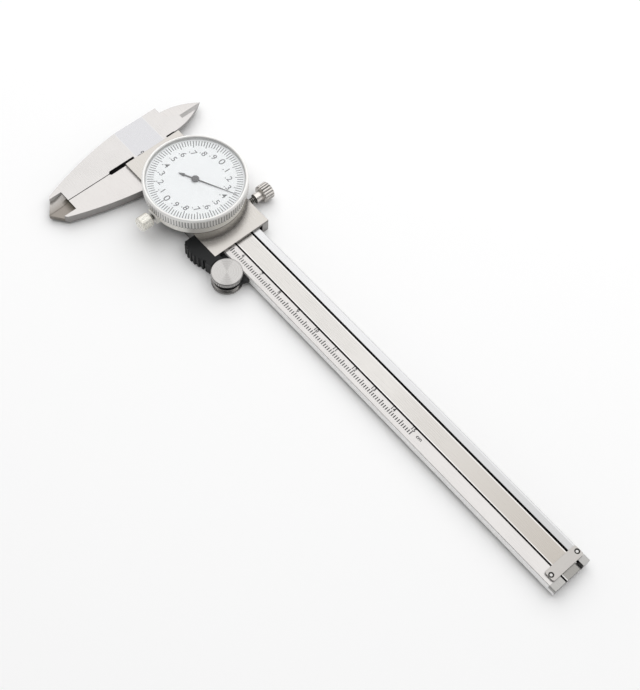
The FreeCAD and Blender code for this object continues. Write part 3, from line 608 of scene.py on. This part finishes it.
@dataclass(frozen=True)
class Metal(Finish):
    """A metal finish with a brushed or turned grain.

    Attributes:
        rough: Middle of its roughness.
        grain: Which way the grain runs.
        depth: Depth of the grain in millimetres.
        edge: Radius that rounds the edges off, in millimetres.
        axis: Place of the axis of a turned grain, in millimetres.
        spread: How much lighter the grain gets. It gets darker by twice as much.
        sides: Share of the tint on a piece's sides: painted shade below one, painted light above one.
        metal: How metallic it is.
        fan: The painted reflection of a faced end, as fans of rays.
        zones: Patches with tints of their own, most of them painted shade and painted highlights.
        ridges: Fine knurling round the axis, with painted shade in its grooves.
    """

    rough: float
    grain: Side = Side.ALONG
    depth: float = 0.004
    edge: float = 0.12
    axis: Triple = (0.0, 0.0, 0.0)
    spread: float = 0.04
    sides: float = 0.62
    metal: float = 1.0
    fan: Fan | None = None
    zones: tuple[Patch, ...] = ()
    ridges: Ridges | None = None

    def make(self) -> bpy.types.Material:
        """Builds the material.

        Returns:
            The material.
        """
        paint = Paint(self.name)
        metal = self.metal
        fine = self.fine(paint)
        clouds = paint.noise(paint.place(), BROAD_GRAIN, FEW_LAYERS)
        mixed = fine * FINE_SHARE + clouds * BROAD_SHARE
        dark = toned(self.tint, 1.0 - self.spread * 2)
        light = toned(self.tint, 1.0 + self.spread)
        front = paint.blend(mixed.ramp(*NARROW), dark, light)
        # Painted shade on the piece's sides, turning to painted light where their share is above one
        colour = paint.blend(paint.facing(), toned(self.tint, self.sides), front)
        normal = paint.bump(fine, self.depth, paint.rounded(self.edge))
        # Painted shade in the knurling's grooves
        if self.ridges:
            groove = self.ridges.mask(paint, self.axis)
            colour = paint.blend(groove, colour, toned(self.tint, self.ridges.dark))
            if self.ridges.depth:
                normal = paint.bump(groove * -self.ridges.depth, 1.0, normal)
        # Patches: painted shade and painted highlights, and a few tints of the finish itself
        for zone in self.zones:
            mask = zone.mask(paint)
            colour = paint.blend(mask, colour, zone.tint)
            if zone.matt:
                metal = metal - mask * zone.matt
        # Painted reflection of a faced end, in fans of rays
        if self.fan:
            less = toned(self.tint, 1.0 - self.fan.dark)
            colour = paint.blend(self.fan.mask(paint, self.axis), colour, less)
        least, most = METAL_ROUGH
        paint.set(
            Base_Color=colour,
            Metallic=metal,
            Roughness=mixed.ramp(*WIDE, self.rough * least, self.rough * most),
            Normal=normal,
        )
        return paint.material

    def fine(self, paint: Paint) -> Wire:
        """Noise that is drawn out along the grain.

        Args:
            paint: The material.

        Returns:
            The noise.
        """
        if self.grain is Side.ROUND:
            x, y, z = paint.parts(paint.place(self.axis))
            turned = paint.node("ShaderNodeCombineXYZ", {}, {0: x.reach(y), 1: z, 2: 0.0})
            return paint.noise(turned, FINE_GRAIN, LAYERS)
        if self.grain is Side.ALONG:
            stretch = (LONG_GRAIN, FINE_GRAIN, FINE_GRAIN)
        else:
            stretch = (FINE_GRAIN, LONG_GRAIN, FINE_GRAIN)
        return paint.noise(paint.place(scale=stretch), 1.0, LAYERS)


@dataclass(frozen=True)
class Plain(Finish):
    """A finish that is not metal: paint, print or plastic.

    Attributes:
        rough: Middle of its roughness.
        grain: Depth of its grain in millimetres.
        alpha: How opaque it is.
        gloss: Strength of its reflections.
        cloud: Fineness and layers of the clouds in it.
        speck: Fineness and layers of its grain.
        shade: Share of the tint in the darkest clouds.
        edge: Radius that rounds the edges off, in millimetres.
    """

    rough: float
    grain: float = 0.0
    alpha: float = 1.0
    gloss: float = 0.5
    cloud: Pair = (0.5, 3.0)
    speck: Pair = (7.0, 4.0)
    shade: float = 0.96
    edge: float = 0.15

    def make(self) -> bpy.types.Material:
        """Builds the material.

        Returns:
            The material.
        """
        paint = Paint(self.name)
        cloud = paint.noise(paint.place(), *self.cloud)
        least, most = PLAIN_ROUGH
        paint.set(
            Base_Color=paint.blend(cloud.ramp(*NARROW), toned(self.tint, self.shade), self.tint),
            Roughness=cloud.ramp(*WIDE, self.rough * least, self.rough * most),
            Alpha=self.alpha,
            Specular_IOR_Level=self.gloss,
        )
        if self.grain:
            speck = paint.noise(paint.place(), *self.speck)
            paint.set(Normal=paint.bump(speck, self.grain, paint.rounded(self.edge)))
        return paint.material


@dataclass(frozen=True)
class Knurled(Finish):
    """A screw turned by hand: fluted head, and a thread on its neck, with painted shade in the flutes
    and in the thread's grooves. Its axis runs along Y.

    Attributes:
        centre: Where the neck begins, in millimetres.
        radius: Radius of the head in millimetres.
        head: Where the flutes begin and end, in millimetres from the centre.
        neck: Where the thread ends.
        outward: One if the screw points along Y, and minus one if it points against it.
        flutes: Half the number of flutes.
        depth: Depth of the flutes in millimetres.
        metal: How metallic it is.
        pitch: Pitch of the thread in millimetres.
        dark: Share of the tint in the flutes, as painted shade.
        rim: Share of the radius from which the flutes show.
        groove: Heights of the wave between which a flute's painted shade sets in.
        thread_tint: Base colour of the thread's grooves, a painted shade.
        thread_edge: Heights of the wave between which the thread's painted shade sets in.
        thread_depth: Depth of the thread in millimetres.
        grain: Fineness of the grain.
        rough: Least and greatest roughness.
        shade: Share of the tint in the darkest grain.
        edge: Radius that rounds the edges off, in millimetres.
    """

    centre: Triple
    radius: float
    head: Pair
    neck: float
    outward: float = 1.0
    flutes: float = 9.0
    depth: float = 0.45
    metal: float = 1.0
    pitch: float = 0.7
    dark: float = 0.28
    rim: float = 0.9
    groove: Pair = (0.7, 0.2)
    thread_tint: Triple = (0.02, 0.018, 0.01)
    thread_edge: Pair = (0.75, 0.0)
    thread_depth: float = 0.12
    grain: float = 3.0
    rough: Pair = (0.22, 0.34)
    shade: float = 0.88
    edge: float = 0.2

    def make(self) -> bpy.types.Material:
        """Builds the material.

        Returns:
            The material.
        """
        paint = Paint(self.name)
        x, y, z = paint.parts(paint.place(self.centre))
        out = y * self.outward
        start, end = self.head
        ridge = (z.angle(x) * self.flutes).wave().size()
        rim = x.reach(z).above(self.radius * self.rim) * out.above(start) * out.below(end)
        neck = out.below(self.neck)
        thread = (out * (2.0 * math.pi / self.pitch)).wave()
        fine = paint.noise(paint.place(), self.grain, LAYERS)
        base = paint.blend(fine.ramp(*WIDE), toned(self.tint, self.shade), self.tint)
        # Painted shade in the flutes of the head
        flute = rim * ridge.ramp(*self.groove)
        fluted = paint.blend(flute, base, toned(self.tint, self.dark))
        relief = ridge * rim * self.depth + thread * neck * self.thread_depth
        # Painted shade in the grooves of the thread
        paint.set(
            Base_Color=paint.blend(neck * thread.ramp(*self.thread_edge), fluted, self.thread_tint),
            Metallic=self.metal,
            Roughness=fine.ramp(*WIDE, *self.rough),
            Normal=paint.bump(relief, 1.0, paint.rounded(self.edge)),
        )
        return paint.material


def deselect() -> None:
    """Deselects every object."""
    bpy.ops.object.select_all(action="DESELECT")


def choose(pieces: list[bpy.types.Object]) -> None:
    """Selects some pieces alone, with the first of them active.

    Args:
        pieces: The pieces.
    """
    deselect()
    for piece in pieces:
        piece.select_set(True)
    bpy.context.view_layer.objects.active = pieces[0]


def fixed() -> bpy.types.Object:
    """Takes the active object's place, turn and scale up into its mesh.

    Returns:
        The object.
    """
    bpy.ops.object.transform_apply(location=True, rotation=True, scale=True)
    return bpy.context.object


def settle(piece: bpy.types.Object, name: str, body: str, paint: bpy.types.Material) -> None:
    """Names a finished piece and gives it its body and finish.

    Args:
        piece: The piece.
        name: Its name.
        body: The moving body that carries it.
        paint: Its finish.
    """
    choose([piece])
    fixed()
    piece.name = name
    piece.data.name = name
    piece.data.materials.clear()
    piece.data.materials.append(paint)
    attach(piece, body)
    LOG.info("%s: %d faces on %s", name, len(piece.data.polygons), body)


def joined(pieces: list[bpy.types.Object]) -> bpy.types.Object:
    """Joins pieces.

    Args:
        pieces: The pieces.

    Returns:
        The first of them, with all the others in it.
    """
    choose(pieces)
    bpy.ops.object.join()
    return bpy.context.object


def bar(centre: Triple, size: Triple, turn: float = 0.0) -> bpy.types.Object:
    """Adds a flat printed bar.

    Args:
        centre: Middle of the bar in millimetres.
        size: Lengths along its own X, Y and Z in millimetres.
        turn: Turn about Z in radians.

    Returns:
        The bar.
    """
    deselect()
    place = [part * MM for part in centre]
    bpy.ops.mesh.primitive_cube_add(size=1.0, location=place, rotation=(0.0, 0.0, turn))
    bpy.context.object.scale = [part * MM for part in size]
    return fixed()


def repeated(piece: bpy.types.Object, count: int, step: float) -> bpy.types.Object:
    """Repeats a piece along X.

    Args:
        piece: The piece to repeat.
        count: How many there are in the end.
        step: Distance between them in millimetres.

    Returns:
        The row.
    """
    choose([piece])
    row = piece.modifiers.new("row", "ARRAY")
    row.use_relative_offset = False
    row.use_constant_offset = True
    row.constant_offset_displace = (step * MM, 0.0, 0.0)
    row.count = count
    bpy.ops.object.modifier_apply(modifier=row.name)
    return piece


@dataclass(frozen=True)
class Lettering:
    """How numbers are printed.

    Attributes:
        wide: Stretch along the line of print.
        weight: How much bolder each stroke's edge is, in millimetres.
    """

    wide: float
    weight: float

    def mesh(self, text: str, centre: Triple, height: float) -> bpy.types.Object:
        """Prints a number or a unit mark, with a hair of thickness.

        Args:
            text: What is printed.
            centre: Middle of the print in millimetres.
            height: Height of a capital in millimetres.

        Returns:
            The print as a mesh.
        """
        deselect()
        bpy.ops.object.text_add(location=[part * MM for part in centre])
        made = bpy.context.object
        made.data.body = text
        made.data.align_x = "CENTER"
        made.data.align_y = "CENTER"
        made.data.size = height * MM / CAPITAL_SHARE
        made.data.extrude = PRINT_LIFT * MM * 0.5
        made.data.offset = self.weight * MM
        made.data.resolution_u = CURVE_STEPS
        made.scale = (self.wide, 1.0, 1.0)
        bpy.ops.object.convert(target="MESH")
        return fixed()


@dataclass
class BeamPrint:
    """The centimetre scale engraved on the lower band of the beam, in millimetres.

    Attributes:
        foot: Lower end of every mark.
        short_end: Upper end of a millimetre's mark.
        middle_end: Upper end of a half centimetre's mark.
        long_end: Upper end of a centimetre's mark.
        last: The last number.
        centimetre: Distance of the numbers.
        width: Width of a mark.
        label_y: Middle of the numbers.
        label_shift: How far a number sits beside its mark.
        label_height: Height of the numbers.
        unit: Middle of the unit mark.
        level: Middle of the print's thickness.
        lettering: How the numbers are printed.
        ink: The finish of the print.
    """

    foot: float = -6.35
    short_end: float = -4.95
    middle_end: float = -4.3
    long_end: float = -4.7
    last: int = 15
    centimetre: float = 10.0
    width: float = 0.38
    label_y: float = -3.97
    label_shift: float = -0.35
    label_height: float = 1.35
    unit: Pair = (153.4, -4.75)
    level: float = BEAM_TOP + PRINT_LIFT * 0.5
    lettering: Lettering = Lettering(1.1, 0.045)
    ink: Finish = Plain("engraved marks", (0.02, 0.02, 0.022), 0.6)

    def build(self) -> None:
        """Builds the marks and the numbers."""
        marks = [
            self.row(1.0, self.short_end, 4, self.last),
            self.row(6.0, self.short_end, 4, self.last),
            self.row(5.0, self.middle_end, 1, self.last),
            self.row(0.0, self.long_end, 1, self.last + 1),
        ]
        for number in range(self.last + 1):
            x = number * self.centimetre + self.label_shift
            centre = (x, self.label_y, self.level)
            marks.append(self.lettering.mesh(str(number), centre, self.label_height))
        marks.append(self.lettering.mesh("cm", (*self.unit, self.level), self.label_height))
        settle(joined(marks), "beam_scale", "beam", self.ink.make())

    def row(self, start: float, end: float, count: int, repeats: int) -> bpy.types.Object:
        """Builds one kind of mark, a millimetre apart and repeated every centimetre.

        Args:
            start: Place of the first mark in millimetres.
            end: Upper end of the mark.
            count: Marks beside each other.
            repeats: How often the group comes.

        Returns:
            The marks.
        """
        height = end - self.foot
        middle = (start, self.foot + height / 2, self.level)
        mark = bar(middle, (self.width, height, PRINT_LIFT))
        if count > 1:
            mark = repeated(mark, count, 1.0)
        return repeated(mark, repeats, self.centimetre)


@dataclass
class DialPrint:
    """The hundred marks and the two rows of ten numbers on the dial, in millimetres.

    Attributes:
        ticks: How many marks there are.
        long_every: Every how many of them one is long.
        short: Inner and outer end of a short mark.
        long: Inner and outer end of a long mark.
        width: Width of a mark.
        numbers: How many numbers there are.
        row: How many of them make one row.
        number_ring: Radius of the ring of numbers.
        number_height: Height of a number.
        zero_height: Height of a zero.
        zero_out: How much farther out a zero sits.
        shift: How far the numbers sit beside their places.
        level: Middle of the print's thickness.
        lettering: How the numbers are printed.
        ink: The finish of the print.
    """

    ticks: int = 100
    long_every: int = 5
    short: Pair = (15.25, 17.5)
    long: Pair = (14.5, 17.5)
    width: float = 0.28
    numbers: int = 20
    row: int = 10
    number_ring: float = 12.5
    number_height: float = 2.35
    zero_height: float = 2.8
    zero_out: float = 0.3
    shift: Pair = (0.0, -0.45)
    level: float = FACE_TOP + PRINT_LIFT * 0.5
    lettering: Lettering = Lettering(1.1, 0.008)
    ink: Finish = Plain("dial print", (0.10, 0.105, 0.11), 0.7)

    def build(self) -> None:
        """Builds the marks and the numbers."""
        marks = [self.tick(number) for number in range(self.ticks)]
        marks += [self.number(number) for number in range(self.numbers)]
        settle(joined(marks), "dial_marks", "bezel", self.ink.make())

    def at(self, ring: float, turn: float, shift: Pair = (0.0, 0.0)) -> Triple:
        """Finds a place on the dial.

        Args:
            ring: Its distance from the dial's middle.
            turn: Its angle from the top, in radians.
            shift: What is added along X and Y.

        Returns:
            The place in millimetres.
        """
        side, up = shift
        return (DIAL_X + ring * math.sin(turn) + side, ring * math.cos(turn) + up, self.level)

    def tick(self, number: int) -> bpy.types.Object:
        """Builds one mark.

        Args:
            number: Its number from the top.

        Returns:
            The mark.
        """
        reach = self.long if number % self.long_every == 0 else self.short
        inner, outer = reach
        turn = math.radians(number * (360.0 / self.ticks))
        centre = self.at((inner + outer) / 2, turn)
        return bar(centre, (self.width, outer - inner, PRINT_LIFT), -turn)

    def number(self, number: int) -> bpy.types.Object:
        """Prints one number, with a point before it unless it is a zero.

        Args:
            number: Its number from the top.

        Returns:
            The print.
        """
        digit = number % self.row
        turn = math.radians(number * (360.0 / self.numbers))
        if digit:
            centre = self.at(self.number_ring, turn, self.shift)
            return self.lettering.mesh(".%d" % digit, centre, self.number_height)
        centre = self.at(self.number_ring + self.zero_out, turn, self.shift)
        return self.lettering.mesh("0", centre, self.zero_height)


# Patches of the beam: a matt field on the head, and painted shade and painted highlights
BEAM_ZONES = (
    # Matt field on the head, with a painted highlight along both sides
    Zone((0.462, 0.46, 0.472), x=(None, 0.4), y=(-6.9, 6.0), z=TOP_Z),
    Zone((0.54, 0.54, 0.54), x=(None, 0.4), y=(-7.1, -6.9), z=CREST_Z, share=0.7),
    Zone((0.54, 0.54, 0.54), x=(None, 0.4), y=(6.0, 6.2), z=CREST_Z, share=0.7),
    # Upper band: painted highlight, with painted shade growing towards its end
    Zone((0.52, 0.52, 0.525), x=(2.0, None), y=(5.2, None), z=TOP_Z),
    Zone((0.40, 0.40, 0.40), x=(2.0, None), y=(5.2, 7.6), z=TOP_Z, fade=(0, 110.0, 200.0)),
    # Painted light on the beam's lower side and edge, and painted shade on the beam's end past the
    # stop plate
    Zone((0.95, 0.94, 0.93), x=(3.0, None), y=(None, -8.13), matt=0.75),
    Zone((0.30, 0.295, 0.285), x=(PAST_STOP, None), z=(3.2, None), share=0.9),
    # Walls of the channel: painted shade
    Zone(GAP_SHADE, x=(3.0, None), y=(-3.2, -2.9), z=(2.0, None)),
    Zone(GAP_SHADE, x=(3.0, None), y=(5.0, 5.2), z=(2.0, None)),
    # Gaps to the sliding jaws: painted shade
    Zone(GAP_SHADE, x=(-0.16, 0.0), y=(-38.2, -19.0), z=CREST_Z),
    Zone(SHADE, x=(-1.05, 1.0), y=(-19.5, -7.6), z=(None, 4.8)),
    Zone(GAP_SHADE, x=(-0.7, 0.5), y=(7.6, 11.3), z=TOP_Z),
    # Hollow tip of the fixed jaw: painted shade in the hollow, darker towards the jaws' gap and the
    # step, a painted dark line at the gap, and painted light on the hollow's wall
    Zone((0.40, 0.385, 0.37), x=(-4.8, 0.0), y=TIP_Y, z=TIP_Z),
    Zone((0.22, 0.20, 0.18), x=(-4.8, 0.0), y=TIP_Y, z=TIP_Z, fade=(0, -4.8, 0.0)),
    Zone((0.05, 0.045, 0.035), x=(-1.6, 0.0), y=(-40.6, -38.2), z=TIP_Z,
         fade=(1, -40.6, -38.4)),
    Zone((0.06, 0.05, 0.04), x=(-0.14, 0.0), y=TIP_Y, z=TIP_Z),
    Zone((0.62, 0.61, 0.59), x=(-4.82, -4.7), y=TIP_Y, z=TIP_Z, matt=0.8),
)

# Patches of the sliding jaws, all painted shade: in the gaps to the fixed ones, and in the hollow
# tip, darker towards its step
JAW_ZONES = (
    Zone(GAP_SHADE, x=(0.0, 0.16), y=(-38.2, -19.0), z=CREST_Z),
    Zone(SHADE, x=(0.0, 0.85), y=(-19.5, -12.6), z=(None, 4.8)),
    Zone(GAP_SHADE, x=(-0.1, 0.4), y=(7.5, 11.7), z=TOP_Z),
    Zone((0.22, 0.20, 0.18), x=(0.0, 4.8), y=TIP_Y, z=TIP_Z),
    Zone((0.09, 0.08, 0.065), x=(0.0, 4.8), y=TIP_Y, z=TIP_Z, fade=(1, -40.8, -38.4)),
)

# Patches of the blade: painted shade growing towards its end and past the stop plate, painted
# highlights along both edges, painted shade in the channel's gaps
BLADE_ZONES = (
    Zone((0.36, 0.335, 0.305), x=(120.0, None), fade=(0, 130.0, 212.0)),
    Zone((0.22, 0.215, 0.205), x=(PAST_STOP, None), share=0.9),
    Zone((0.68, 0.67, 0.66), y=(-2.4, -2.1), z=TOP_Z, share=0.7),
    Zone((0.68, 0.67, 0.66), y=(4.05, 4.35), z=TOP_Z, share=0.7),
    Zone(GAP_SHADE, y=(None, -2.4)),
    Zone(GAP_SHADE, y=(4.42, None)),
)

# Patches of the stop plate and its screws: a ring of painted shade round each screw's bright middle
STOP_SPOTS = tuple(
    Spot(tint, screw, inner, outer)
    for screw in STOP_SCREWS
    for tint, inner, outer in (((0.02, 0.02, 0.018), 0.5, 0.98), ((0.45, 0.44, 0.43), -1.0, 0.5))
)

# Patches of the bezel: the shade under it and its inner edge
BEZEL_ZONES = (
    Zone((0.05, 0.045, 0.04), z=(None, 10.55)),
    Spot((0.5, 0.5, 0.49), (DIAL_X, 0.0), 18.0, 18.4),
)


@dataclass
class Finishes:
    """The finish of every CAD piece, with the painted shade and painted highlights that some of them
    carry.
    """

    # Metals keep the default painted shade on their sides unless another share is set
    ground: Metal = Metal(
        "ground steel", (0.497, 0.482, 0.472), 0.28, depth=0.0015, edge=0.05, zones=BEAM_ZONES,
    )
    jaws: Metal = Metal("frame steel", (0.502, 0.484, 0.472), 0.28, depth=0.002, zones=JAW_ZONES)
    # Painted shade on the plate's sides, deeper than the default
    plate: Metal = Metal(
        "plate steel", (0.455, 0.435, 0.41), 0.24, depth=0.0006, sides=0.45, spread=0.02,
    )
    blade: Metal = Metal("blade steel", (0.49, 0.475, 0.457), 0.28, depth=0.002, zones=BLADE_ZONES)
    stop: Metal = Metal(
        "stop steel", (0.37, 0.355, 0.34), 0.3, Side.ACROSS, 0.002, zones=STOP_SPOTS,
    )
    # Painted light on the roller's sides, a painted reflection on its faced ends, and painted shade
    # in its knurl's grooves
    roller: Metal = Metal(
        "turned steel", (0.40, 0.39, 0.38), 0.26, Side.ROUND, 0.006, 0.15, ROLLER_AXIS,
        sides=1.25, fan=Fan(), ridges=Ridges(44.0, 5.6, 0.3, 6.35, 0.4, 0.1),
    )
    # Painted shade in the knurl's grooves, and under the bezel
    bezel: Metal = Metal(
        "bezel plating", (0.88, 0.87, 0.85), 0.34, Side.ROUND, 0.003, 0.1, DIAL_AXIS,
        sides=1.0, metal=0.35, ridges=Ridges(110.0, 19.0, 10.2, 14.15, 0.5), zones=BEZEL_ZONES,
    )
    # Painted shadow round the housing's foot, where it stands on the plate
    housing: Metal = Metal(
        "housing plating", (0.92, 0.90, 0.85), 0.32, Side.ROUND, 0.003, 0.1, DIAL_AXIS,
        sides=1.0, metal=0.3, zones=(Zone((0.12, 0.11, 0.10), z=(None, 6.25)),),
    )
    screws: Metal = Metal("screw steel", (0.30, 0.295, 0.29), 0.3, Side.ROUND, 0.003, 0.08)
    brass: Metal = Metal("brass", (0.62, 0.45, 0.21), 0.3, depth=0.003)
    # Gib and clamp shoe painted nearly black: painted shade, as they sit in the slider's shadow
    bronze: Metal = Metal("shaded bronze", (0.04, 0.03, 0.02), 0.4, depth=0.003)
    # Painted shade in the screws' flutes and threads
    clamp: Knurled = Knurled(
        "pale nickel", (0.88, 0.855, 0.78), (DIAL_X, -17.4, 8.348), 2.8, (4.4, 8.2), 3.9,
        outward=-1.0, flutes=4.0, depth=0.05, metal=0.25, pitch=0.6, dark=0.8,
    )
    lock: Knurled = Knurled(
        "fluted nickel", (0.66, 0.63, 0.60), (42.3, 12.5, 3.48), 3.4, (6.3, 10.1), 3.2,
    )
    white: Plain = Plain("dial enamel", (0.86, 0.88, 0.89), 0.5)
    black: Plain = Plain("black plastic", (0.003, 0.0038, 0.0045), 0.4, 0.01, gloss=0.25)
    hand: Plain = Plain("needle lacquer", (0.07, 0.07, 0.075), 0.4)
    clear: Plain = Plain("crystal", (1.0, 1.0, 1.0), 0.03, alpha=0.06)

    def dress(self, nodes: dict[str, bpy.types.Object]) -> None:
        """Gives every CAD piece its finish.

        Args:
            nodes: CAD pieces by name.
        """
        wear: dict[str, Finish] = {
            "beam": self.ground,
            "stop_plate": self.stop,
            "stop_screw_1": self.stop,
            "stop_screw_2": self.stop,
            "slider_frame": self.jaws,
            "front_plate": self.plate,
            "depth_blade": self.blade,
            "dial_housing": self.housing,
            "bezel": self.bezel,
            "dial_face": self.white,
            "crystal": self.clear,
            "needle": self.hand,
            "needle_hub": self.hand,
            "thumb_rest": self.black,
            "thumb_roller": self.roller,
            "lock_screw": self.lock,
            "bezel_clamp_screw": self.clamp,
            "gib": self.bronze,
            "clamp_shoe": self.bronze,
            "pillar_1": self.brass,
            "pillar_2": self.brass,
            "movement_bridge": self.brass,
            "transfer_wheel": self.brass,
        }
        made: dict[str, bpy.types.Material] = {}
        for name, node in nodes.items():
            finish = wear.get(name, self.screws)
            if finish.name not in made:
                made[finish.name] = finish.make()
            for place in node.material_slots:
                place.material = made[finish.name]
            LOG.info("%s: %s", name, finish.name)


@dataclass
class Studio:
    """Floor, lights and the camera at the photograph's place. Places and sizes are in metres.

    Attributes:
        eye: Place of the camera.
        right: Where the picture's right side points.
        down: Where its lower side points.
        ahead: Where the camera looks.
        lens: Its focal length in millimetres.
        sensor: Width of its picture plane in millimetres.
        clip: Nearest and farthest distance that it sees.
        floor_place: Middle of the floor, just under the slider's back.
        floor_size: Side of the floor.
        floor_tints: Darkest and lightest colour of the floor.
        floor_cloud: Fineness and layers of the clouds between them.
        floor_rough: Roughness of the floor.
        glow: Colour that the floor shines in far out.
        glow_reach: Distances between which that sets in, in millimetres.
        horizon: Strength of the room's light at the horizon and below it.
        zenith: Strength overhead.
        rise: Heights of the view, as the sky's own Z, between which it changes.
        lamp_place: Place of the softbox.
        lamp_size: Its side.
        lamp_power: Its power in watts.
        lamp_aim: What it looks at.
    """

    eye: Triple = (0.25007, -0.15660, 0.38892)
    right: Triple = (0.65819594, 0.75153264, 0.04446118)
    down: Triple = (0.67573537, -0.5637119, -0.47498484)
    ahead: Triple = (-0.33190332, 0.34267709, -0.87887007)
    lens: float = 65.29
    sensor: float = 36.0
    clip: Pair = (0.01, 20.0)
    floor_place: Triple = (0.1, 0.0, -0.00002)
    floor_size: float = 6.0
    floor_tints: tuple[Triple, Triple] = ((0.96, 0.96, 0.96), (0.97, 0.97, 0.97))
    floor_cloud: Pair = (0.004, 1.0)
    floor_rough: float = 0.9
    glow: Triple = (0.62, 0.62, 0.62)
    glow_reach: Pair = (450.0, 2000.0)
    horizon: float = 0.88
    zenith: float = 0.265
    rise: Pair = (0.0, 0.5)
    lamp_place: Triple = (-0.12, 0.32, 0.85)
    lamp_size: float = 1.8
    lamp_power: float = 14.6
    lamp_aim: Triple = (0.09, 0.0, 0.0)

    def build(self) -> None:
        """Builds the whole stage."""
        self.floor()
        self.room()
        self.softbox()
        self.camera()

    def floor(self) -> None:
        """Lays a pale floor that glows far out, as a lit cove does."""
        deselect()
        bpy.ops.mesh.primitive_plane_add(size=self.floor_size, location=self.floor_place)
        plane = bpy.context.object
        plane.name = "floor"
        paint = Paint("pale floor")
        cloud = paint.noise(paint.place(), *self.floor_cloud)
        x, y, _ = paint.parts(paint.place())
        far = x.reach(y).ramp(*self.glow_reach)
        paint.set(
            Base_Color=paint.blend(cloud, *self.floor_tints),
            Roughness=self.floor_rough,
            Emission_Color=paint.blend(far, (0.0, 0.0, 0.0), self.glow),
            Emission_Strength=1.0,
            Specular_IOR_Level=0.0,
        )
        plane.data.materials.append(paint.material)

    def room(self) -> None:
        """Lights the scene from all round: a white room, brighter round the horizon."""
        world = bpy.data.worlds.new("studio")
        bpy.context.scene.world = world
        world.use_nodes = True
        nodes = Nodes(world.node_tree)
        height = nodes.parts(nodes.node("ShaderNodeTexCoord", {}, {}, "Generated"))[2]
        sky = nodes.tree.nodes["Background"]
        nodes.join((1.0, 1.0, 1.0, 1.0), sky.inputs["Color"])
        nodes.join(height.ramp(*self.rise, self.horizon, self.zenith), sky.inputs["Strength"])

    def softbox(self) -> None:
        """Hangs one large square lamp that looks at the caliper."""
        deselect()
        bpy.ops.object.light_add(type="AREA", location=self.lamp_place)
        lamp = bpy.context.object
        lamp.name = "softbox"
        lamp.data.size = self.lamp_size
        lamp.data.energy = self.lamp_power
        aim = Vector(self.lamp_aim) - Vector(self.lamp_place)
        lamp.rotation_euler = aim.to_track_quat("-Z", "Y").to_euler()

    def camera(self) -> None:
        """Puts the camera where the photograph was taken from, with plain colours."""
        deselect()
        bpy.ops.object.camera_add(location=self.eye)
        camera = bpy.context.object
        columns = (Vector(self.right), -Vector(self.down), -Vector(self.ahead))
        camera.rotation_euler = Matrix(columns).transposed().to_euler()
        camera.data.sensor_width = self.sensor
        camera.data.lens = self.lens
        camera.data.dof.use_dof = False
        camera.data.clip_start, camera.data.clip_end = self.clip
        bpy.context.scene.camera = camera
        bpy.context.scene.view_settings.view_transform = "Standard"


def main() -> None:
    """Builds the scene."""
    logging.basicConfig(level=logging.INFO, format="%(message)s")
    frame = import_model()
    Finishes().dress(frame["nodes"])
    BeamPrint().build()
    DialPrint().build()
    Studio().build()


if __name__ == "__main__":
    main()
